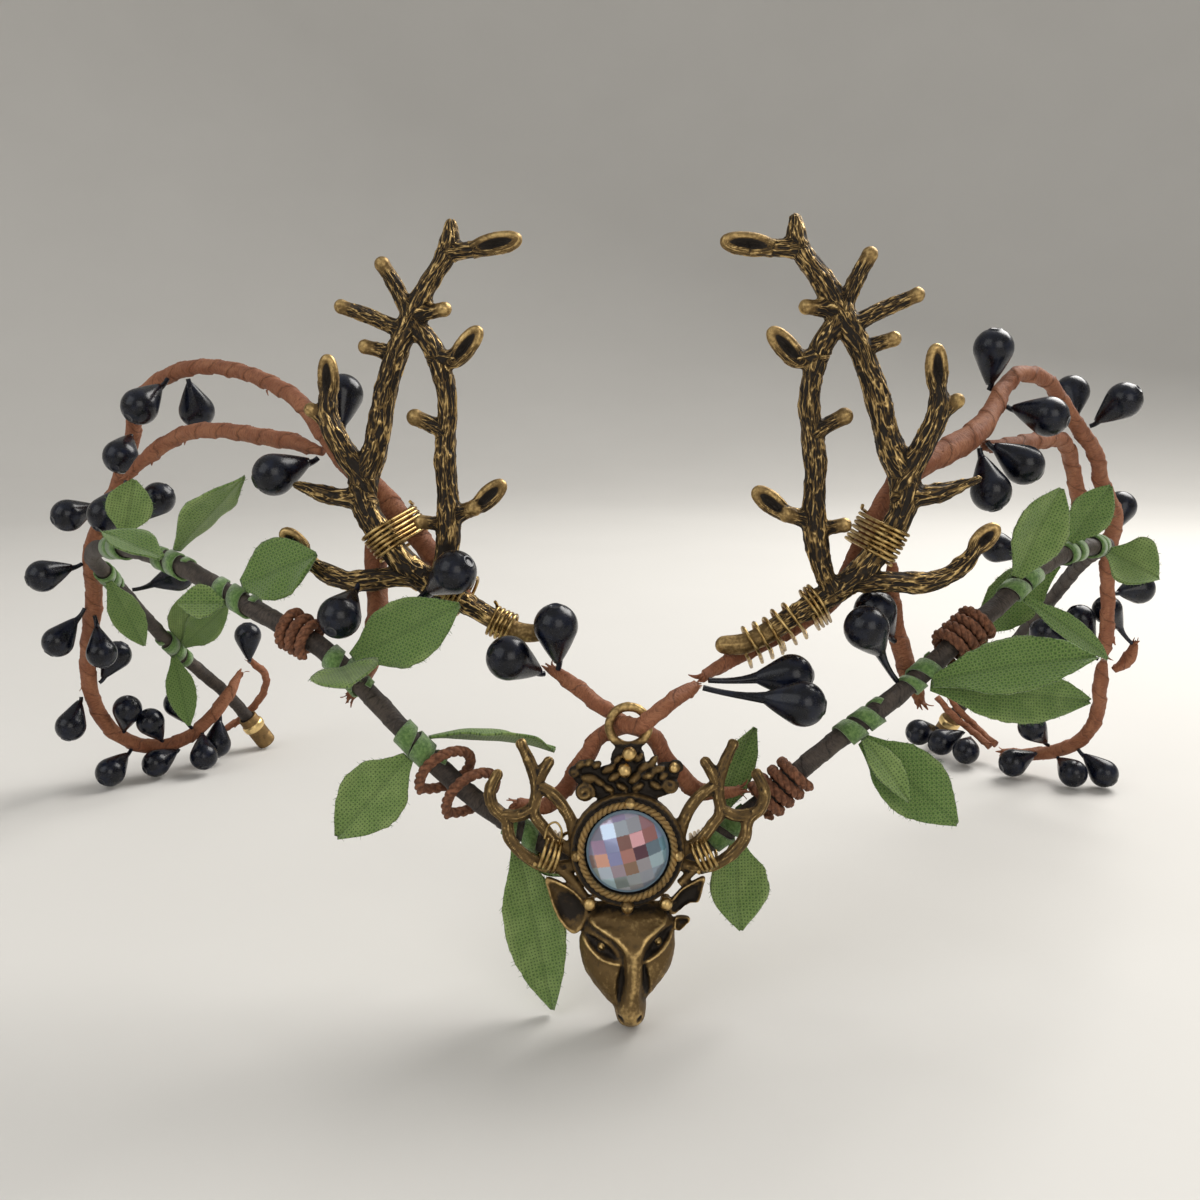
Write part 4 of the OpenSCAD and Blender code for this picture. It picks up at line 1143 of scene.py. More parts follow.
@dataclass
class Ferrule:
    """A turned bronze cap with a raised band on an end of the stem, the band worn bright and brightened
    further as a painted highlight.
    """

    name: str
    end: Point
    toward: Point
    profile: Rows = (
        (0.2, 0.03), (1.5, 0.0), (1.9, 0.12), (2.12, 0.36), (2.2, 0.7), (2.2, 2.6), (2.14, 2.7), (2.14, 2.85),
        (2.2, 2.95), (2.2, 4.7), (2.26, 4.95), (2.44, 5.15), (2.52, 5.4), (2.54, 5.9), (2.52, 6.35),
        (2.42, 6.6), (2.24, 6.8), (2.18, 7.0), (2.18, 8.2), (2.12, 8.45), (1.9, 8.5), (1.62, 8.46),
        (1.6, 8.2), (1.6, 1.6), (1.5, 1.5), (0.2, 1.5))
    band: tuple[float, float] = (5.0, 6.8)
    seed: int = 31

    def build(self) -> None:
        """Makes the cap and dresses it."""
        v, faces = lathe(self.profile, 56)
        outside = np.hypot(v[:, 0], v[:, 1]) > 1.8
        on_band = (v[:, 2] > self.band[0]) & (v[:, 2] < self.band[1]) & outside
        lumps = 0.05 * mottle(v * 0.9, self.seed)
        spin = np.array(Vector(np.subtract(self.toward, self.end)).to_track_quat("Z", "Y").to_matrix())
        # The band is bright for wear and as a painted highlight; the inside of the cap is darker.
        worn = np.where(on_band, 0.75, np.where(outside, 0.0, -0.6)) + 0.25 * mottle(v * 1.3, self.seed + 1)
        marks = {"relief": worn, "polish": np.where(on_band, 0.4, 0.0)}
        v = (v * (1 + 0.02 * lumps[:, None])) @ spin.T + self.end
        fit(make_object(self.name + "_turned", (v, faces), marks), FERRULE, [self.name])


# Wire and cord
@dataclass
class Lashing:
    """Turns of brass wire round two rods, as one running helix for each group."""

    name: str
    groups: tuple
    seat: Seat = UPRIGHT
    loops: tuple = ()
    places_a_turn: int = 28

    def path(self, a: Sequence[float], b: Sequence[float], along: Sequence[float], count: int, reach: float,
             pitch: float = 2 * WIRE_R + 0.15) -> Array:
        """One helix with its loose ends.

        Args:
            a: a point on the first rod
            b: a point on the second rod
            along: the direction that they share
            count: how many turns
            reach: radius of the rods
            pitch: distance between turns

        Returns:
            Points with the wire's radius as the fourth column.
        """
        z = unit(np.asarray(along, float))
        across = np.subtract(b, a) - np.dot(np.subtract(b, a), z) * z
        span = float(np.linalg.norm(across))
        x = unit(across)
        y = np.cross(z, x)
        angle = np.linspace(-0.25, count + 0.25, round((count + 0.5) * self.places_a_turn)) * TURN - 0.5
        r = reach + EASE + WIRE_R + 0.06 * np.sin(3.1 * angle)
        part_x = r * np.cos(angle) + span * (np.cos(angle) > 0)
        rise = (angle / TURN - count / 2) * pitch + 0.05 * np.sin(1.7 * angle)
        p = np.asarray(a, float) + part_x[:, None] * x + (r * np.sin(angle))[:, None] * y + rise[:, None] * z
        tail = p[-1] + unit(p[-1] - p[-2]) * 1.3 + 0.3 * z
        p = np.vstack([p, p[-1] + unit(p[-1] - p[-2]) * 0.6, tail])
        return np.column_stack([self.seat.set(p), np.full(len(p), WIRE_R)])

    def build(self) -> None:
        """Makes the wire and dresses it."""
        paths = [self.path(*row) for row in self.groups]
        paths += [even([(*row, WIRE_R * 0.6) for row in rows], 0.3)[0] for rows in self.loops]
        fit(wire(self.name + "_wire", paths, BRASS), BRASS, [self.name])


@dataclass
class CordCoil:
    """Turns of laid brown cord round the stem."""

    name: str
    places: tuple
    count: int
    reach: float
    tilt: float
    pitch: float = 2 * CORD_R + 0.15
    strands: int = 3
    strand_r: float = 0.43
    apart: float = 0.36
    lay: float = 3.4

    def middle(self, at: Sequence[float]) -> Array:
        """The middle line of the cord at one place on the stem."""
        c, t = stem_at(at)
        spin = (Matrix.Rotation(math.atan2(t[1], t[0]), 3, "Z") @ Matrix.Rotation(math.acos(t[2]), 3, "Y") @
                Matrix.Rotation(math.radians(self.tilt), 3, "X"))
        angle = np.linspace(0, self.count - 0.08, self.count * 60) * TURN
        rise = (angle / TURN - self.count / 2) * self.pitch
        ring = np.stack([self.reach * np.cos(angle), self.reach * np.sin(angle), 0 * angle], axis=1)
        return c + ring @ np.array(spin).T + rise[:, None] * t

    def build(self) -> None:
        """Lays the strands round the middle line and dresses them."""
        paths = []
        for at in self.places:
            p = self.middle(at)
            _, side, back = carried(p)
            s = lengths(p)
            for k in range(self.strands):
                a = TURN * (s / self.lay + k / self.strands)
                off = self.apart * (np.cos(a)[:, None] * side + np.sin(a)[:, None] * back)
                paths.append(np.column_stack([p + off, np.full(len(p), self.strand_r)]))
        fit(wire(self.name + "_laid", paths, TWINE), TWINE, [self.name])


# Leaves
LEAF_ROWS = np.array([
    [0, 0.2, 0.03], [0.14, 0.45, 0.1], [0.34, 0.92, 0.2], [0.58, 1, 0.22], [0.8, 0.65, 0.15],
    [1, 0.08, 0.03]])


@dataclass
class Leaf:
    """A leaf cut from woven cloth: its seed, its foot on the stem, tip, facing, width and bend."""

    seed: int
    foot: Point
    tip: Point
    face: Point
    width: float
    bend: float
    across: int = 15
    thick: float = 0.34
    threads: int = 60

    def blade(self) -> tuple[Mesh, dict[str, Array], Array]:
        """The cupped blade.

        Returns:
            The mesh, the values that its finish reads, and its map.
        """
        centre, on = stem_at(self.foot)
        tip = np.array(self.tip, float)
        start = centre + (STEM_R + EASE + TAPE_R) / 2 * square_to(tip - centre, on)
        go = tip - start
        length = float(np.linalg.norm(go))
        face = square_to(self.face, unit(go))
        u = np.linspace(0, 1, max(24, round(length / 0.4)))
        rows = smooth(LEAF_ROWS, 6)
        half = np.maximum(np.interp(u, rows[:, 0], rows[:, 1]) * self.width / 2, 0.3)
        dip = np.interp(u, rows[:, 0], rows[:, 2]) * self.width / 2
        v = np.linspace(-1, 1, self.across)
        middle = start + u[:, None] * go + (4 * self.bend * u * (1 - u))[:, None] * face
        t = unit(go + (4 * self.bend * (1 - 2 * u))[:, None] * face)
        n = unit(face - (t @ face)[:, None] * t)
        s = np.cross(n, t)
        grid_u, grid_v = np.meshgrid(u * length, v, indexing="ij")
        spots = np.stack([grid_u, grid_v * 3, 0 * grid_u + self.seed * 7.3], axis=-1)
        ragged = mottle(spots * [1.5, 0.33, 1], self.seed)
        wave = mottle(spots * [0.28, 0.5, 1], self.seed + 3)
        edge = np.abs(grid_v)
        x = grid_v * half[:, None] * (1 + 0.035 * ragged * ease_in(edge, 0.55, 1))
        fold = 0.16 * np.exp(-(grid_v / 0.13)**2) * ease_in(u, 0.02, 0.2)[:, None]
        swing = 0.1 * self.width * wave * (0.25 + edge**2) * ease_in(u, 0.08, 0.35)[:, None]
        lift = -dip[:, None] * (1 - edge**1.7) + swing - fold
        sheet = middle[:, None] + x[..., None] * s[:, None] + lift[..., None] * n[:, None]
        h = self.thick / 2 * n[:, None]
        mesh = skin(np.concatenate([sheet - h, sheet[:, ::-1] + h], axis=1))
        wide, along = (np.concatenate([q, q[:, ::-1]], axis=1).ravel() for q in (x, grid_u))
        ribs = np.abs(np.mod((along - 1.1 * np.abs(wide)) / 2.6, 1.0) - 0.5)
        rib = np.maximum(np.exp(-(wide / 0.22)**2), 0.7 * np.exp(-(ribs / 0.045)**2))
        shade = 0.25 * math.sin(self.seed * 2.4) + 0.35 * ease_in(np.abs(wide) / self.width * 2, 0.65, 1.0)
        marks = {"vein": np.append(rib, [0, 0]), "shade": np.append(shade, [0, 0])}
        uv = np.column_stack([np.append(wide, [0, 0]), np.append(along, [0, length])]) / MAP_UNIT
        self.rim = self.rim_of(sheet, s, t)
        return mesh, marks, uv

    def rim_of(self, sheet: Array, s: Array, t: Array) -> tuple[Array, Array]:
        """Places and directions of the loose threads along the leaf's edge.

        Args:
            sheet: the blade's middle surface
            s: the direction across the leaf at each row
            t: the direction along the leaf at each row

        Returns:
            The places and the directions.
        """
        chance = np.random.default_rng(100 + self.seed)
        rows = chance.integers(4, len(sheet) - 1, self.threads)
        sides = chance.choice([0, -1], self.threads)
        outward = np.where(sides == 0, -1.0, 1.0)[:, None] * s[rows]
        way = unit(outward + 1.6 * t[rows] * chance.uniform(-0.2, 1.2, (self.threads, 1)) +
                   0.35 * chance.normal(size=(self.threads, 3)))
        return sheet[rows, sides], way


@dataclass
class LeafGroup:
    """Leaves that one binding of green tape holds to the stem.

    Each leaf is a row of its tip, facing, width and bend, and its foot where that isn't the binding's middle.
    """

    name: str
    first: int
    bound: Point
    rows: tuple
    half: float = 2.6
    pitch: float = 3.1
    seed: int = 40

    def binding(self) -> Mesh:
        """The tape wound round the stem over the feet of the leaves."""
        p, s = even(STEM_ROUTE, 0.25)
        here = s[int(np.argmin(np.linalg.norm(p - np.array(self.bound, float), axis=1)))]
        _, side, back = carried(p)
        half = 1.45 * self.half
        run = np.linspace(-half, half, round(half * 30))
        middle, across, behind = (np.column_stack([np.interp(here + run, s, q[:, k]) for k in range(3)])
                                  for q in (p, side, back))
        a = (TURN * run / self.pitch)[:, None]
        out = np.cos(a) * across + np.sin(a) * behind
        lumps = mottle(np.column_stack([run * 0.9, 0 * run, 0 * run + len(self.name)]), self.seed)
        lay = 1.7 + 0.12 * lumps - 0.12 * ease_in(np.abs(run), half - 1.5, half)
        width = (2.5 + 0.5 * lumps) * (1 - 0.6 * ease_in(np.abs(run), half - 2.2, half))
        return ribbon(middle + lay[:, None] * out, width, out, 0.32)

    def build(self, rims: list[tuple[Array, Array]]) -> None:
        """Makes the leaves and their binding.

        Args:
            rims: gathers the places of the loose threads
        """
        leaves = [Leaf(self.first + i, foot[0] if foot else self.bound, tip, face, width, bend)
                  for i, (tip, face, width, bend, *foot) in enumerate(self.rows)]
        made = [leaf.blade() for leaf in leaves]
        rims += [leaf.rim for leaf in leaves]
        mesh = join([m for m, _, _ in made])
        marks = {key: np.concatenate([m[key] for _, m, _ in made]) for key in ("vein", "shade")}
        ob = make_object(self.name + "_cloth", mesh, marks, np.concatenate([uv for _, _, uv in made]))
        fit(ob, CLOTH, [self.name])
        fit(make_object(self.name + "_tape", self.binding()), FLORAL)


@dataclass
class Foliage:
    """Every leaf on the stem, from the left end of the brow round both sides."""

    groups: tuple = (
        ("leaves_brow", 1, (-14, 9, 23), (
            ((-10, 1.5, 0.8), (0, -1, 0.3), 8, 0.5, (-13, 8.8, 22)),
            ((-7.5, 13, 15), (0.3, -1, 0.4), 5, -0.5, (-13.5, 9, 22.5))), 2.2),
        ("leaves_front_left", 3, (-28.5, 11, 34.5), (
            ((-39, 6, 23.5), (0, -1, 0.3), 9, 1), ((-10, 16, 32.5), (0, 0.2, 1), 7, 1.5))),
        ("leaves_antler_left", 5, (-38.5, 14.2, 44.5), (
            ((-22.5, 10.6, 54.4), (0.3, -1, 0.2), 9, 0.5), ((-36, 5, 45), (0.1, -0.6, 0.8), 9, 1))),
        ("leaves_side_left", 7, (-56, 21.5, 53.5), (
            ((-43.5, 19.5, 60), (0, -1, 0.5), 9, 1), ((-63, 18.2, 53.3), (0, -0.8, 0.6), 5, 0.5))),
        ("leaves_turn_left", 9, (-67.5, 29, 57.5), (
            ((-55.5, 27, 70.5), (-0.6, 0.5, 0.7), 7, 1), ((-78, 30, 62), (0, -0.4, 1), 6, 0.8))),
        ("leaf_upright_left", 11, (-80, 40, 58.3), (((-77.5, 42, 69), (0.3, -1, 0), 7, 0.5),)),
        ("leaf_hanging_left", 12, (-97.5, 77, 48), (((-93.5, 81, 33.5), (0.4, -1, 0), 6, 0.5),)),
        ("leaves_rear_left", 13, (-95, 101, 28.5), (
            ((-81.5, 96, 39), (0.3, -1, 0.3), 7, 0.5), ((-90.5, 96, 41), (0.2, -1, 0.2), 6, 0.5),
            ((-91.5, 97, 12.5), (0.2, -1, 0.2), 6, 0.5)), 3.5),
        ("leaves_stone_right", 16, (14, 9, 23.5), (
            ((15.5, 5, 10.5), (0.2, -1, 0.2), 8, 0.5, (13.2, 8.8, 22.6)),
            ((18.3, 15.3, 36), (0, -1, 0), 5, -1, (13.5, 9, 23))), 2.2),
        ("leaves_front_right", 18, (32.5, 12.8, 37.5), (
            ((45.2, 8, 24.5), (0, -1, 0.3), 9, 1), ((37.8, 6, 28.5), (0, -1, 0.6), 4, 1))),
        ("leaves_big_right", 20, (41.5, 16, 43.5), (
            ((63, 9.5, 47.5), (0, -0.8, 0.6), 8, 2.2), ((66, 17.5, 39.3), (0, -1, 0.2), 8, 1.5)), 2.1),
        ("leaves_upright_right", 22, (58, 24.8, 55.3), (
            ((62.5, 24, 69), (0.1, -1, 0), 8, 0.5), ((72, 26, 43.5), (0.3, -1, 0.2), 3.5, 1))),
        ("leaf_turn_right", 24, (76.5, 43.5, 58.2), (((85, 39, 53.5), (0, -1, 0.5), 9, 1),)),
        ("leaves_low_right", 25, (68.5, 33.7, 58.5), (
            ((74, 34, 68.5), (-0.3, -1, 0), 6, 0.5), ((53.5, 29, 47), (0.3, -1, 0.3), 8, -1))))

    def build(self) -> None:
        """Makes the leaves and the loose threads along their edges."""
        rims: list[tuple[Array, Array]] = []
        for row in self.groups:
            LeafGroup(*row).build(rims)
        places, ways = (np.concatenate(q) for q in zip(*rims))
        t = np.linspace(0, 1, 5)
        bow = np.column_stack([0.3 * t**2, 0 * t, 1.6 * t - 0.15, 0.1 * (1 - 0.6 * t)])
        sizes = np.random.default_rng(9).uniform(0.12, 0.4, len(places))
        threads = copies("leaf_threads", tube(bow, 4), places, heading(ways), sizes, THREAD, 0.2)
        fit(threads, THREAD)


# Berries
@dataclass
class BerryCluster:
    """Pip berries on straight stalks, each a row of the foot of its stalk and the middle of its head."""

    name: str
    rows: tuple

    def build(self, pip: Mesh, stalks: list[Array]) -> None:
        """Makes the heads and notes the stalks.

        Args:
            pip: one berry's head round its middle, pointing down
            stalks: gathers the paths of the stalks
        """
        feet, heads = np.hsplit(np.array(self.rows, float), 2)
        ways = unit(heads - feet)
        reach = np.maximum(np.linalg.norm(heads - feet, axis=1), PIP)
        turns = heading(ways, 0.7 * len(self.name))
        pips = copies(self.name + "_pips", pip, heads, turns, np.ones(len(heads)), SKIN, 0.02)
        fit(pips, SKIN, [self.name])
        for head, way, length in zip(heads, ways, reach):
            foot = head - length * way
            neck = head - (PIP - 1.4) * way
            sag = 0.25 * square_to([0.2, 0.1, -1], way)
            t = np.linspace(0, 1, 7)[:, None]
            line = foot + t * (neck - foot) + 4 * t * (1 - t) * sag
            stalks.append(np.column_stack([line, 0.4 + 0.5 * t**3]))


@dataclass
class Berries:
    """Every cluster of berries along the vines."""

    clusters: tuple = (
        ("berries_brow_left", ((-11.2, 11.7, 44.7, -15.8, 8.5, 47.6), (-9.3, 11.1, 45.5, -9.5, 9.5, 51.8))),
        ("berries_antler_left", (
            (-34.9, 19.8, 49.5, -23.3, 13, 58.5), (-37.8, 19.4, 55.8, -39.3, 13.5, 52.2))),
        ("berries_arch_left", ((-44.4, 26.3, 73.2, -50, 23, 71), (-41.1, 27.3, 76.5, -41.5, 31, 82.3))),
        ("berries_crest_left", ((-77, 57.7, 84.9, -80, 52.5, 80.3), (-73.3, 57.1, 84.9, -73.3, 60.5, 79.5))),
        ("berries_outer_left", (
            (-87.8, 67.6, 75.2, -88, 62.8, 71.5), (-84.8, 56.8, 67.7, -87, 52.5, 62.3),
            (-96.9, 73.7, 62, -101, 69, 60.5))),
        ("berries_inner_left", ((-95.3, 69, 53.3, -85.5, 72.5, 63.3), (-96.8, 85.2, 44, -88.5, 88, 46.3))),
        ("berries_drop_left", (
            (-103.2, 78.2, 50.3, -109, 74, 48.5), (-105.6, 83, 40.7, -110, 80, 34.5),
            (-104, 83.6, 39.1, -102, 81, 32), (-108, 92.4, 23.1, -104.8, 94.5, 28.6))),
        ("berries_low_left", (
            (-112.4, 93.2, 19.9, -113.5, 89.8, 14.5), (-106.3, 98.5, 10.8, -104.5, 97, 16.2),
            (-99.5, 102.2, 7.6, -100.8, 99.5, 12.7), (-94.1, 105.5, 9.5, -96, 103, 15.8),
            (-105.1, 98.9, 6.7, -107.3, 92.8, 3.6), (-96.6, 103.8, 5.2, -100, 99, 3.5),
            (-92, 105.8, 8.3, -90.5, 101.8, 4.2))),
        ("berries_end_left", (
            (-89.4, 110.3, 11.7, -90.1, 109.5, 4.6), (-83.6, 115.2, 22.3, -84, 116.5, 28.2))),
        ("berries_brow_right", ((10, 6.6, 44, 23, 4.8, 42.3), (11, 9.1, 44.4, 22.5, 11.2, 44.5))),
        ("berries_antler_right", ((37.7, 14.5, 43, 32, 9.5, 51.5), (38.2, 18.4, 47.8, 34.6, 15.8, 52.6))),
        ("berries_arch_right", (
            (56.4, 39.4, 82.9, 56.5, 38.5, 89.2), (58.3, 36.5, 80.5, 63.5, 33, 79),
            (53.5, 29.9, 75.4, 59, 29.5, 72), (52.2, 29.3, 74.5, 53.5, 27, 68.3))),
        ("berries_crest_right", ((77.7, 56.9, 78, 78.5, 62.5, 82.6), (79.5, 56.2, 77, 83.5, 53, 81.3))),
        ("berries_inner_right", ((87.7, 79.4, 49.9, 74.5, 84, 52.7), (88.6, 79.1, 51.9, 84.5, 82.5, 56.7))),
        ("berries_outer_right", (
            (92.8, 73.9, 56.7, 95.5, 78, 61.2), (96.4, 80.3, 44.2, 102.8, 83, 44.6),
            (105.2, 89.3, 32.2, 99, 88, 39.4), (97.4, 87, 32, 93, 86.5, 37.8),
            (98.6, 89.4, 28.9, 88.3, 92, 34))),
        ("berries_low_right", (
            (94, 100.2, 7.2, 89.5, 98.5, 11.8), (91.6, 100.6, 5.4, 86, 99, 3.6),
            (95.4, 98.5, 5.1, 96.5, 92.6, 3.4), (99.1, 97, 7.3, 103, 92.5, 3.4))),
        ("berries_end_right", (
            (76.1, 121.3, 4.9, 70.8, 118.5, 4.7), (79.7, 114, 6.1, 74.5, 113, 4),
            (80.8, 112.4, 5.2, 78.5, 107.5, 3.6))))
    places_round: int = 26

    def pip(self) -> Mesh:
        """One berry's head: a drop with a creased neck and a small ring at its tip."""
        low = math.asin(BERRY_R / PIP) * 0.9
        t = np.linspace(0, 1, 9)[:, None]
        neck = np.array([[0.5, 0.5 - PIP]])
        shoulder = np.array([[BERRY_R * math.cos(low), -BERRY_R * math.sin(low)]])
        cone = neck + t * (shoulder - neck) + np.column_stack([0.1 * np.sin(math.pi * t), 0 * t])
        angle = np.radians([-18, -8, 2, 12, 22, 32, 42, 51, 60, 67, 71, 74, 77, 80, 84, 88])
        bulge = np.array([0, 0, 0, 0, 0, 0, 0, 0, -0.01, -0.04, 0.05, 0.09, 0.03, -0.12, -0.16, -0.16])
        head = np.column_stack([(BERRY_R + bulge) * np.cos(angle), (BERRY_R + bulge) * np.sin(angle)])
        rows = np.vstack([cone, head])
        a = circle(self.places_round)
        crease = 0.022 * np.exp(-((rows[:, 1:2] + 3.4) / 1.3)**2)
        return lathe(rows, self.places_round, 1 - crease * (1 + np.cos(5 * a + 0.8 * np.sin(2 * a))))

    def build(self) -> None:
        """Makes every cluster and the stalks."""
        stalks: list[Array] = []
        shape = self.pip()
        for name, rows in self.clusters:
            BerryCluster(name, rows).build(shape, stalks)
        fit(wire("berry_stalks", stalks, SKIN, 7), SKIN)


# Cast pieces: the antlers, the deer and its stone
@dataclass
class Grain:
    """The middle lines of a casting's branches, for bark that runs along them."""

    rows: list[Array] = field(default_factory=list)
    apart: float = 40.0

    def add(self, line: Array, sheen: float | Array = 0.0) -> None:
        """Adds a branch by its middle line and how smooth and bright it is, from 0 for bark to 1 for a
        polished rod; on an eye ring it is also a painted highlight along its top.
        """
        along = lengths(line) + self.apart * (len(self.rows) + 1)
        self.rows.append(np.column_stack([line[:, :3], *carried(line), along, np.zeros(len(line)) + sheen]))

    def read(self, v: Array) -> tuple[Array, Array]:
        """Where points lie round their nearest branch.

        Args:
            v: the points

        Returns:
            Places across and along the branch, and how smooth and bright the branch is there.
        """
        rows = np.vstack(self.rows)
        tree = KDTree(len(rows))
        for i, row in enumerate(rows):
            tree.insert(row[:3], i)
        tree.balance()
        near = rows[[tree.find(p)[1] for p in v]]
        along, *across = (np.einsum("ij,ij->i", v - near[:, :3], near[:, k:k + 3]) for k in (3, 6, 9))
        return np.column_stack([unit(np.stack(across, axis=1)), near[:, 12] + along]), near[:, 13]


BARK_MEAN = 0.55


def bark(places: Array, seed: int) -> Array:
    """The relief of bark: long thin ridges with hollows between them.

    Args:
        places: unit places across a branch, and the length along it
        seed: picks the pattern

    Returns:
        How far it stands out, as a share of its depth: below 0 in a hollow and above 0 on a ridge.
    """
    long = 1 - np.abs(mottle(places * [1.7, 1.7, 0.3], seed)) * 2.6
    short = 1 - np.abs(mottle(places * [2.3, 2.3, 0.75], seed + 1)) * 2.4
    pits = mottle(places * [1.6, 1.6, 0.9], seed + 2)
    ridges = 0.62 * np.clip(long, 0, 1) + 0.38 * np.clip(short, 0, 1)
    return np.clip(ridges + 0.22 * pits, 0, 1) - BARK_MEAN


@dataclass
class Antler:
    """A cast twig antler, drawn outward and up from the tip of its rod."""

    name: str
    seat: Seat
    seed: int
    grain: float = 0.19
    relief: float = 0.3
    branches: tuple = (
        (
            (0, 0, 0, 1.3), (3, 0, 0, 1.45), (6.5, 0, 1.5, 1.5), (10, 0, 3.5, 1.4), (16.5, 0, 7, 1.5),
            (20, 0.5, 10, 1.5), (24.5, 0.5, 16, 1.5), (25.5, 0, 20.5, 1.7), (23.5, 0, 26, 1.4),
            (21.5, 0.5, 34, 1.3), (19.5, 0.5, 39.5, 1.3), (17.5, 0, 43.5, 1.5), (15.5, 0, 47.5, 1.2),
            (12.5, 0, 52, 1.2), (12, 0, 55.5, 0.8)),
        ((14.5, 0, 38, 1.1), (12, 0, 38, 0.9)),
        (
            (15, 0, 7, 1), (13.5, 0.5, 11, 1.3), (13, 0.5, 17, 1.3), (13.5, 0, 24.5, 1.2), (13, 0, 32, 1.2),
            (14.5, 0, 38.5, 1.2), (17.5, 0, 43, 1.1)),
        ((25, 0, 20.5, 1.2), (28, 0.5, 25.5, 1.3), (30, 0.5, 30, 1.2), (30, 0, 34, 0.9)),
        ((17.5, 0, 7.5, 1.1), (21.5, 0.5, 7.5, 1.2), (28, 1, 7, 1.2), (33, 0.5, 9, 1), (35, 0, 11.5, 0.9)),
        ((25, 0, 18.5, 1), (30, 0.5, 19, 1.1), (35, 1, 20.5, 0.5)),
        ((12.5, 0, 52, 1), (8.5, 0, 52.3, 1)))
    twigs: tuple = (
        (17.5, 43, 21.5, 50.5, 1.25, 1.05), (18.5, 41.5, 27.5, 45, 1.25, 1.0),
        (20, 38.5, 24.3, 39.6, 1.2, 1.0), (16.5, 44, 13, 44.5, 1.2, 1.0), (13.5, 28, 17.5, 30, 1.2, 1.15),
        (13, 15, 17, 15.5, 1.1, 1.0), (13, 16, 9.2, 17.6, 1.3, 1.15), (29, 28, 32.5, 31, 1.2, 1.0))
    eyes: tuple = (
        (5.8, 53, 100, 7.5), (10.3, 39.5, -40, 7.2), (30, 35.3, 0, 7), (36, 12.3, 50, 5.5),
        (7.3, 19.2, -48, 6.4))
    eye_r: float = 0.75
    eye_half: float = 0.85
    rod_smooth: float = 9.0
    fuller: float = 1.3

    def eye(self, x: float, up: float, turn: float, length: float) -> Array:
        """The middle line of an oval eye of wire, from front to back open."""
        a = np.radians(np.arange(0, 360, 12))
        half = length / 2 - self.eye_r
        flat = np.stack([self.eye_half * np.cos(a), 0 * a, half * np.sin(a)], axis=1)
        spin = np.array(Matrix.Rotation(math.radians(turn), 3, "Y"))
        return flat @ spin.T + [x, 0, up]

    def in_eyes(self, v: Array) -> Array:
        """How far points lie inside an eye's slot, from 0 to 1."""
        deepest = np.zeros(len(v))
        for x, up, turn, length in self.eyes:
            a = math.radians(turn)
            dx, dz = v[:, 0] - x, v[:, 2] - up
            wide = (dx * math.cos(a) - dz * math.sin(a)) / (self.eye_half - 0.1)
            long = (dx * math.sin(a) + dz * math.cos(a)) / (length / 2 - 1.5 * self.eye_r)
            deepest = np.maximum(deepest, 1 - ease_in(np.hypot(wide, long), 0.6, 1.0))
        return deepest

    def cast(self) -> tuple[list[Mesh], Grain]:
        """The branches, twigs and eyes before they are fused.

        Returns:
            The meshes and the middle lines.
        """
        parts: list[Mesh] = []
        lines = Grain()
        for k, rows in enumerate(self.branches):
            rows = np.array(rows, float) * [1, -1, 1, 1]
            p, s = even(rows, 0.35)
            knots = 0.13 * mottle(np.column_stack([s * 0.45, 0 * s + k, 0 * s]), self.seed)
            p[:, 3] *= 1 + (self.fuller - 1) * (ease_in(s, 8, 14) if k == 0 else 1)
            p[:, 3] += knots - 0.04
            parts.append(tube(p, 14))
            parts += [blob(q[:3], (q[3] * 0.96,) * 3) for q in (p[0], p[-1])]
            lines.add(p, (1 - ease_in(s, self.rod_smooth - 3, self.rod_smooth + 1)) if k == 0 else 0.0)
        for x, up, to_x, to_up, r, tip_r in self.twigs:
            bend = 0.35 * (to_up - up) / 8
            p, s = even([(x, 0, up, r), ((x + to_x) / 2, 0, (up + to_up) / 2 + bend, (r + tip_r) / 2),
                         (to_x, -0.5, to_up, tip_r)], 0.35)
            parts += [tube(p, 12), blob(p[-1][:3], (tip_r * 1.08,) * 3)]
            lines.add(p, ease_in(s, s[-1] - 1.8, s[-1] - 0.4))
        for row in self.eyes:
            loop = self.eye(*row)
            ring = np.vstack([loop, loop[:1]])
            t = unit(np.roll(loop, -1, axis=0) - np.roll(loop, 1, axis=0))
            side = np.tile([0.0, 1.0, 0.0], (len(loop), 1))
            parts.append(skin(hoops(loop, side, np.cross(t, side), np.full(10, self.eye_r)), closed=True))
            x, up, turn, length = row
            # A thin plate behind each eye; build() darkens it as painted shade in the eye's slot.
            parts.append(blob((x, 0.5, up), (self.eye_half + 0.2, 0.4, length / 2 - 0.7), (0, turn, 0)))
            # The ring is smoother and brighter towards its top: a painted highlight along the top of each
            # eye.
            lines.add(ring, 0.25 + 0.75 * ease_in(ring[:, 2] - up, -1.5, 1.0))
        return parts, lines

    def build(self) -> None:
        """Fuses the casting, cuts its bark and dresses it."""
        parts, lines = self.cast()
        v, faces = fused(parts, self.grain)
        v = relaxed(v, faces, 3)
        places, sheen = lines.read(v)
        ridges = bark(places, self.seed)
        lift = ridges * self.relief * (1 - 0.85 * sheen)
        v = relaxed(v + vertex_normals(v, faces) * lift[:, None], faces, 1, 0.3)
        edge = relief_of(v, faces, 7, 0.1)
        slot = self.in_eyes(v)
        # Worn bright on the edges and bark ridges; the eye slots are darkened as painted shade.
        worn = np.clip(0.75 * edge + 0.5 * ridges * (1 - sheen) - 1.5 * slot, -1.3, 1)
        if self.seat.mirrored:
            faces = [tuple(reversed(q)) for q in faces]
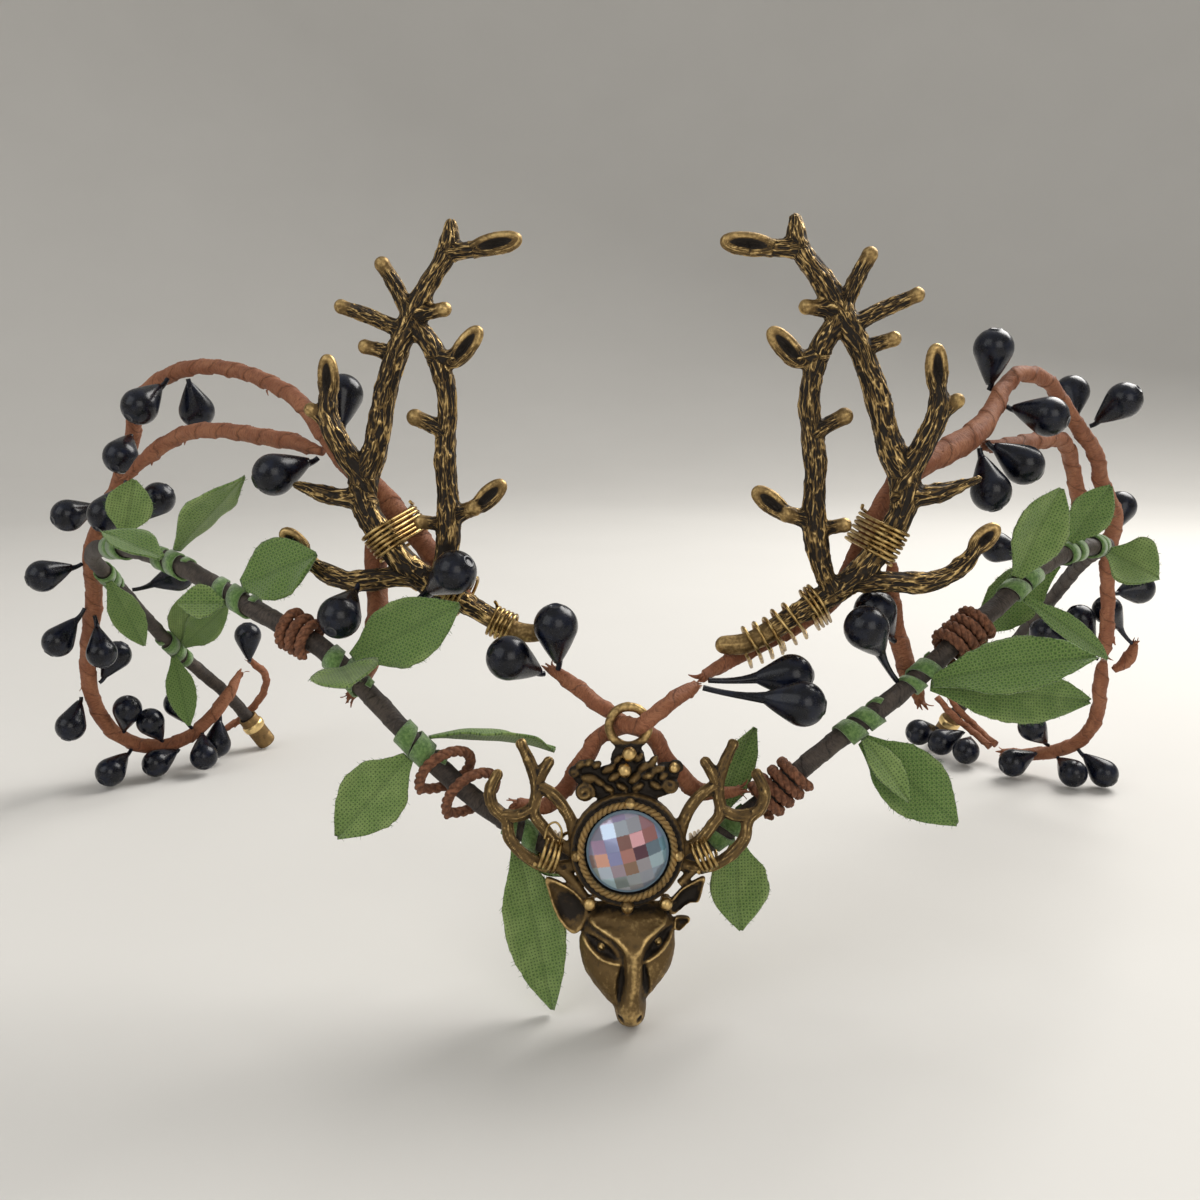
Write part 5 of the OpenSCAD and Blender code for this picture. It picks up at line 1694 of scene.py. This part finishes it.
        # Polish follows the smoothness, which carries the painted highlight on the eye rings' tops; none in
        # the slots.
        polish = 0.26 * sheen * (1 - slot) - 0.08
        marks = {"relief": worn, "polish": polish, "bark": places, "barked": 1 - sheen}
        fit(make_object(self.name + "_cast", (self.seat.set(v), faces), marks), BRONZE, [self.name])


@dataclass(frozen=True)
class Hollow:
    """A long hollow in the deer's face, with a rolled lip below it and a pupil where it is an eye."""

    x: float
    up: float
    half_long: float
    half_wide: float
    turn: float
    depth: float
    pupil: float = 0.0

    def spread(self, x: Array, up: Array) -> tuple[Array, Array, Array]:
        """How far out points lie as a share of its half size, on which side, and how near the pupil."""
        a = math.radians(self.turn)
        dx, dz = x - self.x, up - self.up
        long = (dx * math.cos(a) + dz * math.sin(a)) / self.half_long
        wide = (-dx * math.sin(a) + dz * math.cos(a)) / self.half_wide
        return np.sqrt(long**2 + wide**2 * (1 + 0.9 * long**2)), wide, np.hypot(dx, dz)

    def press(self, x: Array, up: Array) -> Array:
        """How deep the hollow is at each point."""
        q, wide, near = self.spread(x, up)
        deep = self.depth * (1 - ease_in(q, 0.4, 1.05))
        if not self.pupil:
            return deep
        lip = 0.32 * np.exp(-((q - 1.2) / 0.17)**2) * ease_in(-wide, -0.1, 0.4)
        ball = 0.95 * np.sqrt(np.clip(1 - (near / self.pupil)**2, 0, 1))
        ring = 0.2 * np.exp(-((near - 1.75 * self.pupil) / 0.16)**2)
        return deep - lip - ball - ring

    def gilt_and_shade(self, x: Array, up: Array) -> Array:
        """How dark, below 0, or bright, above 0, the hollow is painted at each point: patina and painted
        shade inside it, and a bright pupil and lower lip where it is an eye.
        """
        q, wide, near = self.spread(x, up)
        # Patina and painted shade darken the inside of the hollow.
        tone = (-0.7 if self.half_long > 2 and not self.pupil else -1.1) * (1 - ease_in(q, 0.6, 1.1))
        if self.pupil:
            tone += 2.3 * (1 - ease_in(near, 0.8 * self.pupil, 1.1 * self.pupil))
            tone += 0.6 * np.exp(-((q - 1.2) / 0.15)**2) * ease_in(-wide, 0, 0.4)
        return tone


@dataclass
class Face:
    """The front of the deer's head: cheeks, a raised plate down the nose, eye sockets and nostrils.

    The rows are height, middle, half width and depth of the head.
    The plate's rows are height, left edge and right edge.
    """

    rows: tuple = (
        (0.45, 0.3, 0.8, 1.4), (1.0, 0.35, 1.6, 2.4), (1.7, 0.4, 2.0, 3.7), (2.6, 0.4, 2.15, 4.4),
        (3.45, 0.15, 2.4, 4.4), (4.15, -0.15, 2.9, 4.3), (5.1, -0.15, 3.75, 4.2), (6.05, -0.2, 4.5, 4.2),
        (7.4, -0.1, 5.5, 4.2), (8.7, 0, 6.05, 4.2), (10.2, 0, 6.35, 4.1), (11.7, 0, 6.4, 4.0),
        (13.2, 0.2, 6.1, 3.6), (14.4, 0.3, 5.9, 2.8), (15.7, 0, 5.2, 1.7), (16.5, 0, 4.4, 1.0))
    plate: tuple = (
        (0.4, 0.1, 0.5), (1.0, -0.9, 1.7), (1.7, -1.4, 2.2), (3.0, -1.6, 2.35), (3.9, -1.1, 1.95),
        (4.9, -0.6, 1.6), (6.3, -0.28, 1.6), (7.7, -0.2, 1.65), (10.3, -0.35, 1.85), (11.5, -0.75, 2.1),
        (12.6, -1.9, 2.8), (13.4, -3.4, 3.9), (14.1, -4.7, 4.9), (14.8, -5.1, 5.2), (15.5, -4.4, 4.6),
        (16.4, -2.6, 2.8))
    rise: float = 1.05
    hollows: tuple = (
        Hollow(-3.45, 11.3, 2.75, 1.0, -32, 1.1, 0.5), Hollow(4.05, 11.9, 2.7, 0.95, 43, 1.1, 0.5),
        Hollow(-0.9, 2.5, 0.55, 0.4, -55, 0.8), Hollow(1.45, 2.55, 0.55, 0.4, 55, 0.8),
        Hollow(-0.95, 6.9, 2.9, 0.6, 84, 0.62), Hollow(2.35, 7.2, 2.9, 0.6, 97, 0.62))

    def edge(self, x: Array, up: Array) -> Array:
        """How far inside the plate's edge points lie, in millimetres."""
        rows = smooth(self.plate, 6)
        sides = []
        for k, way in ((1, 1), (2, -1)):
            lean = np.interp(up, rows[:, 0], np.gradient(rows[:, k], rows[:, 0]))
            sides.append(way * (x - np.interp(up, rows[:, 0], rows[:, k])) / np.sqrt(1 + lean**2))
        return np.minimum(*sides)

    def depth(self, x: Array, up: Array, t: Array, front: Array) -> Array:
        """How far forward the face stands.

        Args:
            x: places across
            up: heights
            t: places across as a share of the half width
            front: depth of the head at those heights

        Returns:
            The depth in millimetres.
        """
        inside = self.edge(x, up)
        high = 1 - ease_in(up, 14.7, 16.3)
        lift = self.rise * ease_in(inside, -0.4, 0.3) * high
        brow = ease_in(up, 10.5, 12)
        lift += (0.28 * np.exp(-((inside - 0.35) / 0.3)**2) * brow * (1 - ease_in(up, 14, 14.9)) -
                 0.3 * ease_in(inside, 0.5, 1.9) * brow) * high
        lift += 0.3 * ease_in(inside, 0.2, 1.0) * (1 - brow)
        for s in (-1, 1):
            lift += 0.75 * np.exp(-((x - 0.2 - 3.5 * s) / 1.9)**2 - ((up - 7.4) / 2.6)**2)
        dome = front * np.clip(1 - np.abs(t)**2.4, 0, 1)**0.55
        return dome + (lift - sum(h.press(x, up) for h in self.hollows)) * ease_in(1 - np.abs(t), 0, 0.12)

    def gilt_and_shade(self, x: Array, up: Array) -> Array:
        """How dark, below 0, or bright, above 0, the face is painted: bright on the brow's edge and the
        plate, patina and painted shade in the hollows, darker just outside the plate's edge and towards the
        top of the head.
        """
        inside = self.edge(x, up)
        brow = ease_in(up, 10.5, 12)
        low = 1 - ease_in(up, 14.0, 14.9)
        tone = 0.6 * np.exp(-((inside - 0.35) / 0.32)**2) * brow * low
        tone += 0.42 * ease_in(inside, 0.1, 0.8) * (1 - brow)
        # Darker just outside the plate's edge.
        tone += 0.1 * ease_in(inside, 0.5, 1.5) * brow - 0.5 * np.exp(-((inside + 0.5) / 0.35)**2)
        # Darker towards the top of the head.
        tone -= 1.2 * ease_in(up, 14.9, 16.2)
        return tone + sum(h.gilt_and_shade(x, up) for h in self.hollows)

    def mesh(self) -> Mesh:
        """The head as a closed skin."""
        fine = smooth(self.rows, 8)
        up, middle, half, front = (fine[:, k:k + 1] for k in range(4))
        t = np.linspace(-0.995, 0.995, 91)[None, :]
        x = middle + half * t
        face = np.stack([x, -self.depth(x, up + 0 * t, t + 0 * up, front + 0 * t), up + 0 * t], axis=-1)
        b = np.linspace(0.95, -0.95, 24)[None, :]
        rear = np.stack([middle + half * b, 0.55 * np.sqrt(1 - b**2) + 0 * up, up + 0 * b], axis=-1)
        return skin(np.concatenate([face, rear], axis=1))


@dataclass
class Ear:
    """A cupped ear with a raised rim, drawn by its rim's points across and up."""

    rim: tuple
    dish: tuple = (
        (0.02, 0.3), (0.7, 0.3), (0.97, -0.1), (1.04, -0.8), (1.0, -1.4), (0.9, -1.5), (0.78, -1.1),
        (0.5, -0.65), (0.02, -0.5))

    def mesh(self) -> Mesh:
        """The ear as a closed skin."""
        points = np.array([*self.rim, *self.rim[:3]], float)
        loop = smooth(points, 6)[6:-12]
        middle = loop.mean(axis=0)
        rings = [np.stack([middle[0] + f * (loop[:, 0] - middle[0]), 0 * loop[:, 0] + y,
                           middle[1] + f * (loop[:, 1] - middle[1])], axis=1) for f, y in self.dish]
        return skin(np.array(rings))


@dataclass
class Deer:
    """The cast deer head with its ears and small antlers, stone cup, crown and hanging eye.

    Places are across, forward and up from the muzzle.
    """

    grain: float = 0.17
    seed: int = 61
    face: Face = field(default_factory=Face)
    ears: tuple = (
        Ear((
            (-5.3, 14.6), (-6.0, 13.2), (-7.2, 12.5), (-8.6, 13.8), (-9.6, 15.6), (-10.3, 17.7),
            (-10.7, 19.8), (-8.9, 19.3), (-7.2, 18.3), (-5.9, 17.0), (-5.3, 15.8))),
        Ear((
            (5.5, 16.6), (6.9, 18.2), (8.6, 19.3), (10.2, 19.9), (9.9, 18.2), (9.4, 16.7), (8.4, 16.6),
            (7.4, 16.0), (6.4, 15.2), (5.6, 15.2))),
        Ear(((6.2, 13.2), (6.3, 14.5), (7.3, 14.7), (8.3, 14.4), (7.6, 13.4), (6.9, 12.9))))
    folds: tuple = (
        ((-9.6, 21.3, 0.6), (-7.7, 19.9, 0.75), (-5.6, 17.2, 0.6)), ((9.2, 21.2, 0.6), (6.9, 18.9, 0.6)))
    beads: tuple = (
        (0.3, 3.0, 30.1, 0.75), (-6.7, 2.7, 23.1, 0.72), (6.7, 2.7, 23.1, 0.72), (0, 2.6, 16.4, 0.85),
        (-4.95, 2.4, 16.75, 0.9), (5.05, 2.4, 16.8, 0.9), (-0.35, 1.9, 34.2, 0.95), (0.25, 1.5, 36.3, 1.0),
        (6.1, 1.2, 34.4, 0.7))
    cup: tuple = (
        (0.2, -0.6), (6.9, -0.6), (7.25, -0.45), (7.45, -0.1), (7.45, 1.9), (7.32, 2.25), (7.05, 2.4),
        (6.8, 2.3), (6.7, 2.1), (6.55, 2.1), (6.45, 2.5), (6.2, 2.65), (5.9, 2.65), (5.7, 2.5), (5.55, 2.2),
        (5.55, 1.0), (0.2, 1.0))
    antler_rows: tuple = (
        (
            (6, 21.6), (9, 21.0), (11.5, 21.3), (13.9, 22.8), (15.6, 24.9), (16.1, 27.35), (17.7, 29.0),
            (18.2, 31.1), (17.2, 33.4)),
        ((6.8, 22.8), (9.6, 24.6), (11.2, 26.5), (12.4, 28.4), (12.0, 31.3), (12.6, 34.2), (14.0, 37.4)),
        ((16.3, 28.0), (14.4, 27.9), (12.5, 28.8)),
        ((12.0, 32.0), (9.5, 30.4), (7.6, 27.5), (6.9, 24.5)),
        ((11.9, 32.4), (11.2, 33.8), (10.4, 35.0)))
    closed_rows: tuple = (2, 3)
    antler_r: float = 0.86
    mounds: tuple = (
        (0, 32.8, 5.4, 0.6, 2.3), (0.1, 35.4, 2.4, 0.6, 2.4), (0, 31.4, 6.4, 0.7, 1.5),
        (-5.4, 33.6, 2.0, 0.5, 1.9), (5.2, 33.5, 1.8, 0.5, 1.7))
    petals: tuple = (
        (-6.5, 34.6, -5.9, 35.1, 0.5, 1.2), (-5.4, 34.9, -4.8, 35.3, 0.5, 1.2),
        (-4.3, 34.6, -3.7, 35.0, 0.5, 1.2), (-5.8, 33.1, -4.2, 33.0, 0.62, 1.4),
        (-4.2, 32.9, -3.2, 32.2, 0.5, 1.2), (-2.9, 31.9, -2.0, 31.4, 0.5, 1.2),
        (-3.1, 33.9, -1.8, 34.6, 0.5, 1.1), (-2.2, 32.9, -1.1, 33.6, 0.5, 1.3),
        (-1.2, 32.2, -0.2, 31.6, 0.5, 1.4), (0.5, 32.6, 1.5, 33.6, 0.6, 1.4),
        (0.9, 31.6, 1.9, 32.2, 0.5, 1.3), (1.6, 34.1, 2.6, 34.9, 0.55, 1.2),
        (2.2, 33.2, 3.4, 33.6, 0.55, 1.2), (2.9, 34.6, 3.8, 35.8, 0.5, 1.0), (3.3, 34.0, 4.8, 34.4, 0.5, 1.1),
        (3.2, 32.4, 4.2, 31.8, 0.55, 1.0), (4.4, 33.0, 5.2, 33.6, 0.5, 0.9),
        (-1.6, 35.2, -0.9, 35.9, 0.5, 0.9), (1.2, 35.4, 1.9, 36.1, 0.5, 0.9))
    curls: tuple = (
        (-5.6, 31.2, 1.5, 1.0, 1), (5.6, 32.1, 1.3, 0.9, -1), (-7.0, 33.8, 0.95, 0.7, 1),
        (6.4, 34.5, 1.1, 0.7, 1))
    ring_up: float = 39.8
    ring_reach: float = 2.6
    ring_wire: float = 0.62

    def head(self) -> list[Mesh]:
        """The face, the skull behind it and the ears."""
        parts = [self.face.mesh(), blob((0, -0.4, 15.4), (5.2, 1.1, 1.5))]
        parts += [ear.mesh() for ear in self.ears]
        for rows in self.folds:
            parts.append(tube(even([(x, -0.5, up, r) for x, up, r in rows], 0.4)[0], 10))
        return parts

    def setting(self) -> list[Mesh]:
        """The stone cup, the beads, the crown over it and the hanging eye."""
        v, faces = lathe(self.cup, 96)
        parts = [(np.stack([v[:, 0], -v[:, 2], v[:, 1] + CUP_UP], axis=1), faces)]
        parts += [blob((x, -d, up), (r, r, r)) for x, d, up, r in self.beads]
        parts += [tube(np.array([(x, -d, up, r * 0.6), (x, 0.2, up, r * 0.8)]), 10)
                  for x, d, up, r in self.beads]
        parts += [blob((x, -0.1, up), radii) for x, up, *radii in self.mounds]
        for x, up, to_x, to_up, r, d in self.petals:
            go = np.array([to_x - x, to_up - up])
            a = np.degrees(np.arctan2(go[1], go[0]))
            middle = ((x + to_x) / 2, -d * 0.7, (up + to_up) / 2)
            parts.append(blob(middle, (0.5 * np.hypot(*go) + 0.35, 0.85, r), (0, -a, 0)))
        for x, up, r, d, way in self.curls:
            a = np.linspace(0, 3.3 * math.pi, 50)
            reach = (r - 0.28) * (1 - a / (3.9 * math.pi))
            coil = np.stack([x + reach * np.cos(way * (a - 0.6)), -d - 0.12 * a / math.pi,
                             up + reach * np.sin(way * (a - 0.6)), 0.3 + 0 * a], axis=1)
            parts += [tube(coil, 8), blob((x, 0.35 - d, up), (r * 0.9, 0.6, r * 0.9))]
        a = np.radians(np.arange(0, 360, 7.5))
        t = np.stack([-np.sin(a), 0 * a, np.cos(a)], axis=1)
        out = np.stack([np.cos(a), 0 * a, np.sin(a)], axis=1)
        loop = out * self.ring_reach + [0.2, 0, self.ring_up]
        parts.append(skin(hoops(loop, out, np.cross(t, out), np.full(12, self.ring_wire)), closed=True))
        return parts

    def small_antlers(self, lines: Grain) -> list[Mesh]:
        """The deer's own antlers.

        Args:
            lines: gathers their middle lines

        Returns:
            The meshes.
        """
        parts: list[Mesh] = []
        for s in (-1, 1):
            for k, row in enumerate(self.antler_rows):
                last = len(row) - 1 if k not in self.closed_rows else -1
                p, _ = even([(s * x, 0, up, self.antler_r * (0.84 if i == last else 1.0))
                             for i, (x, up) in enumerate(row)], 0.3)
                parts += [tube(p, 12), blob(p[-1][:3], (p[-1][3] * 1.1,) * 3)]
                lines.add(p)
        return parts

    def tone(self, v: Array, edge: Array) -> Array:
        """The colour over the whole head, apart from its edges and bark: the face's patina and painted shade,
        bright beads, a darker crown that is darkest at its back, and darker parts round the cup and inside
        the ears.

        Args:
            v: the points
            edge: how far each point stands out of its surroundings

        Returns:
            Below 0 where it is dark and above 0 where it is bright.
        """
        x, y, z = v.T
        from_cup = np.hypot(x, z - CUP_UP)
        on_face = (z < 16.4) * (np.abs(x) < 6.6) * ease_in(-y, 0.4, 1.4)
        tone = on_face * (0.5 * self.face.gilt_and_shade(x, z) + 0.08)
        crown = (1 - ease_in(z, 37, 38)) * (np.abs(x) < 8)
        # The crown is darker, most of all where it lies further back.
        tone -= 0.8 * ease_in(z, 30, 31.4) * (1 - ease_in(-y, 0.7, 1.3)) * crown
        tone -= 0.2 * ease_in(z, 30.8, 31.6) * crown
        # Darker in a ring round the stone cup, just outside the rope border.
        tone -= 0.75 * ease_in(from_cup, 6.4, 6.6) * (1 - ease_in(from_cup, 7.1, 7.4)) * (y < -1)
        for bead_x, d, up, r in self.beads:
            tone += 0.7 * (1 - ease_in(np.linalg.norm(v - [bead_x, -d, up], axis=1), r * 1.02, r * 1.25))
        # Darker inside the two ear cups.
        for ear in self.ears[:2]:
            middle = np.mean(ear.rim, axis=0)
            near = np.hypot(x - middle[0], z - middle[1])
            tone -= 0.5 * (1 - ease_in(near, 1.2, 2.4)) * (y < -0.2) * (y > -1.2)
        return tone + 0.8 * np.where((on_face > 0) & (z < 9.5), np.maximum(edge, -0.55), edge)

    def build(self) -> None:
        """Fuses the casting, cuts its bark and dresses it."""
        lines = Grain()
        v, faces = fused(self.head() + self.setting() + self.small_antlers(lines), self.grain)
        v = relaxed(v, faces, 2)
        places, _ = lines.read(v)
        from_cup = np.hypot(v[:, 0], v[:, 2] - CUP_UP)
        twig = ease_in(from_cup, 7.8, 8.4) * (v[:, 2] > 20.5) * ease_in(np.abs(v[:, 0]), 6, 8)
        ridges = bark(places, self.seed)
        cast = 0.04 * mottle(v * 1.1, self.seed + 1) + 0.03 * mottle(v * 2.3, self.seed + 2)
        v = v + vertex_normals(v, faces) * (0.16 * ridges * twig + cast * (1 - twig))[:, None]
        worn = self.tone(v, relief_of(v, faces, 9, 0.13)) + 0.35 * ridges * twig
        in_cup = (from_cup < 5.7) & (v[:, 1] > -2.6)
        polish = 0.2 * ease_in(v[:, 2], 37.2, 38.2) - 0.9 * in_cup
        marks = {"relief": np.clip(worn, -1.4, 1.2), "polish": polish, "bark": places, "barked": 0.08 * twig}
        fit(make_object("deer_pendant_cast", (ON_DEER.set(v), faces), marks), BRONZE, ["deer_pendant"])


@dataclass
class Rope:
    """The twisted border round the stone, two strands laid round a circle."""

    reach: float = 6.12
    forward: float = 2.75
    twists: int = 25
    strand: float = 0.3
    apart: float = 0.2

    def build(self) -> None:
        """Makes the border and dresses it."""
        a = np.linspace(-math.pi / 2, 1.5 * math.pi, 721)
        paths = []
        for start in (0, math.pi):
            b = self.twists * a + start
            r = self.reach + self.apart * np.cos(b)
            y = -self.forward - self.apart * np.sin(b)
            p = ON_DEER.set(np.stack([r * np.cos(a), y, CUP_UP + r * np.sin(a)], axis=1))
            paths.append(np.column_stack([p, np.full(len(p), self.strand)]))
        fit(wire("deer_rope_border", paths, GILT), GILT)


@dataclass
class Cabochon:
    """The round stone: a dome cut in square facets, inside a smooth clear rim.

    Each flash is a painted reflection: a colour in one part of the stone, by its place across and up, and its
    red, green and blue.
    """

    facet: float = 1.72
    turn: float = 15.0
    rim: float = 5.08
    height: float = 2.6
    girdle: float = 2.35
    seed: int = 71
    flashes: tuple = (
        (0.0, 0.9, 0.24, 0.08, 0.06), (0.3, -1.6, 0.20, 0.10, 0.05), (1.9, 2.6, 0.42, 0.15, 0.15),
        (2.0, 0.4, 0.09, 0.03, 0.05), (-2.2, 2.5, 0.42, 0.52, 0.72), (-3.3, -1.0, 0.50, 0.28, 0.19),
        (-4.3, 0.9, 0.30, 0.24, 0.38), (4.3, 1.2, 0.14, 0.28, 0.44), (-1.7, 0.0, 0.14, 0.15, 0.33),
        (2.2, -2.2, 0.24, 0.25, 0.33), (0.4, -3.9, 0.40, 0.42, 0.50), (0.4, 4.2, 0.24, 0.26, 0.34),
        (-2.9, -3.4, 0.50, 0.62, 0.72), (4.4, -1.2, 0.34, 0.46, 0.58), (2.6, -3.9, 0.26, 0.30, 0.40))

    def colours(self, cell: Array, radius: Array) -> Array:
        """The painted colour of each facet, standing for the reflections and lustre that it throws.

        Args:
            cell: the middle of the facet that each point is in, across and up
            radius: the distance of each point from the stone's middle

        Returns:
            One colour for each point.
        """
        flashes = np.array(self.flashes)
        near = 1 / (0.25 + ((cell[:, None] - flashes[:, :2])**2).sum(axis=2))**2.2
        mixed = (near[..., None] * flashes[:, 2:]).sum(axis=1) / near.sum(axis=1)[:, None]
        spots = np.column_stack([cell * 3.7, 0 * cell[:, 0]])
        tone = 1.05 + 0.5 * mottle(spots, self.seed)
        hue = 1 + 0.2 * np.stack([mottle(spots + 9 * k, self.seed + 1 + k) for k in range(3)], axis=1)
        # The clear rim gets a painted blue-grey reflection.
        clear = np.array([0.30, 0.44, 0.58])
        share = ease_in(radius, self.rim - 0.15, self.rim + 0.1)[:, None]
        colour = np.clip(mixed * tone[:, None] * hue, 0.01, 0.95) * (1 - share) + clear * share
        return np.column_stack([colour, np.ones(len(colour))])

    def build(self) -> None:
        """Cuts the stone and dresses it."""
        radii = np.concatenate([np.linspace(0.02, self.rim, 74), np.linspace(self.rim + 0.05, STONE_R, 9)])
        a = circle(220)
        r = radii[:, None] + 0 * a
        x, z = r * np.cos(a), r * np.sin(a)
        c, s = math.cos(math.radians(self.turn)), math.sin(math.radians(self.turn))
        grid = [np.round((x * c + z * s) / self.facet), np.round((-x * s + z * c) / self.facet)]
        cx = (grid[0] * c - grid[1] * s) * self.facet
        cz = (grid[0] * s + grid[1] * c) * self.facet
        steep = self.height / STONE_R**2
        cut = self.height - steep * (cx**2 + cz**2) - 2 * steep * (cx * (x - cx) + cz * (z - cz))
        slope = self.height * (1 - (r / STONE_R)**2) * 0.82
        share = ease_in(r, self.rim - 0.02, self.rim + 0.08)
        top = self.girdle + cut * (1 - share) + slope * share
        rings = np.stack([x, -top, z], axis=-1)
        edge = [np.stack([q * np.cos(a), 0 * a - h, q * np.sin(a)], axis=-1)
                for q, h in ((STONE_R, self.girdle - 0.5), (0.9 * STONE_R, 1.15), (0.1, 1.15))]
        v, faces = skin(np.concatenate([rings, np.array(edge)]))
        cell = np.concatenate([np.stack([cx, cz], axis=-1).reshape(-1, 2), np.zeros((len(v) - cx.size, 2))])
        v[:, 2] += CUP_UP
        far = np.concatenate([r.ravel(), np.full(len(v) - r.size, STONE_R)])
        ob = make_object("cabochon_cut", (ON_DEER.set(v), faces), {"flash": self.colours(cell, far)})
        fit(ob, LUSTRE, ["cabochon"])


# The studio
@dataclass
class Studio:
    """A pale floor that sweeps up all round, soft light from the upper right, and the photograph's camera."""

    camera: Point = (1.2, -203.0, 82.0)
    pitch: float = 80.0
    lens: float = 34.68
    sensor: float = 36.0
    flat: float = 700.0
    sweep: float = 900.0
    wall: float = 700.0
    lights: tuple = (("window", (0.45, 0.35, 0.6), 0.5, 6.5, (1.0, 0.98, 0.95)),
                     ("room", (-0.55, -0.45, 0.5), 0.6, 1.5, (0.93, 0.96, 1.0)),
                     ("front", (0.25, -0.75, 0.35), 0.5, 1.5, (1.0, 0.97, 0.93)))
    air: tuple = (0.92, 0.91, 0.89, 1.0)
    air_strength: float = 0.5

    def light(self, name: str, at: Point, size: float, power: float, colour: Point) -> None:
        """A square soft light that faces the tiara.

        Args:
            name: the light's name
            at: its place in metres
            size: its side in metres
            power: its power in watts
            colour: its colour
        """
        data = bpy.data.lights.new(name, "AREA")
        data.size = size
        data.energy = power
        data.color = colour
        ob = linked(name, data)
        ob.location = at
        ob.rotation_euler = (Vector((0.0, 0.0, 0.04)) - Vector(at)).to_track_quat("-Z", "Y").to_euler()

    def floor(self) -> None:
        """The floor, flat under the tiara and curved up to a wall far round it."""
        bend = np.radians(np.arange(0, 91, 6))
        radius = np.concatenate([[1.0, self.flat / 2], self.flat + self.sweep * np.sin(bend)])
        rise = np.concatenate([[0.0, 0.0], self.sweep * (1 - np.cos(bend))])
        rows = np.append(np.column_stack([radius, rise]), [[radius[-1], rise[-1] + self.wall]], axis=0)
        v, faces = lathe(rows, 96)
        inside = [tuple(reversed(q)) for q in faces if len(v) - 1 not in q]
        floor = make_object("floor", (v - HOME, inside))
        floor.data.materials.append(FLOOR.material())

    def build(self) -> None:
        """Sets up the floor, the lights, the world and the camera."""
        self.floor()
        for row in self.lights:
            self.light(*row)
        world = bpy.data.worlds.new("room light")
        world.use_nodes = True
        air = world.node_tree.nodes["Background"].inputs
        air["Color"].default_value = self.air
        air["Strength"].default_value = self.air_strength
        bpy.context.scene.world = world
        bpy.context.scene.view_settings.view_transform = "Standard"
        data = bpy.data.cameras.new("camera")
        data.lens = self.lens
        data.sensor_width = self.sensor
        ob = linked("camera", data)
        ob.location = np.array(self.camera) * MM
        ob.rotation_euler = (math.radians(self.pitch), 0.0, 0.0)
        bpy.context.scene.camera = ob


def main() -> None:
    """Builds every piece of the tiara in order."""
    Studio().build()
    stem = [(*p, STEM_R - 0.04) for p in STEM_ROUTE]
    Winding("stem_wound", stem, TAPE, TAPE.pitch, 0.12, 0.08, 20, torn=(0, 0), seed=3).build()
    Ferrule("ferrule_left", (-82.4, 121.9, 1.1), (-86.5, 118.5, 9.3)).build()
    Ferrule("ferrule_right", (77.1, 124.4, 1.05), (80, 121.5, 8.3)).build()
    Vines().build()
    for name, places, count, reach, tilt in (
            ("cord_front_left", ((-25, 10.5, 31.2), (-21.5, 10, 28)), 1, 4.1, 40),
            ("cord_front_right", ((21, 10, 29),), 4, ON_STEM, 6),
            ("cord_side_left", ((-46, 16.8, 49),), 3, ON_STEM, 6),
            ("cord_side_right", ((48, 19, 48.5),), 4, ON_STEM, 6)):
        CordCoil(name, places, count, reach, tilt).build()
    Antler("antler_left", ON_LEFT, 41).build()
    Antler("antler_right", ON_RIGHT, 51).build()
    Lashing("lashing_antler_left", (
        ((22.4, -0.5, 13), (20, 4.3, 13.8), (4.5, 0, 6), 6, 2.0),
        ((12.6, 0, 5), (12.6, 3.4, 5.8), (6.5, 0, 3.5), 4, 1.85),
        ((5.8, 0, 1.05), (5.8, 0.1, 1.05), (3.5, 0, 1.4), 5, 1.6)), ON_LEFT).build()
    Lashing("lashing_antler_right", (
        ((22.4, -0.5, 13), (20.9, 4, 13), (4, 0, 6.3), 7, 1.95),
        ((12.6, 0, 5.1), (12.6, 3.4, 2.7), (6.5, 0, 3.5), 3, 1.85),
        ((8.8, 0, 2.9), (8.8, 3.3, 0.4), (6.5, 0, 3.1), 2, 1.7, 1.7),
        ((5.2, 0, 0.8), (5.2, 3, -1.3), (3.5, 0, 1.2), 3, 1.7, 1.6)), ON_RIGHT).build()
    on_beams = tuple(((s * 10.2, 3.2, 22.2), (s * 10.2, 8.5, 21.1), (1, 0, s * 0.4), 4, 1.6) for s in (-1, 1))
    loose = ((-9.6, 2.2, 22.6), (-9.0, 2.6, 23.8), (-8.6, 2.5, 25.5), (-9.3, 2.6, 26.8), (-10.4, 2.7, 26.3),
             (-10.9, 2.5, 24.6))
    Lashing("lashing_deer", on_beams, loops=(loose,)).build()
    Deer().build()
    Rope().build()
    Cabochon().build()
    Foliage().build()
    Berries().build()


if __name__ == "__main__":
    logging.basicConfig(level=logging.INFO, format="%(message)s")
    main()
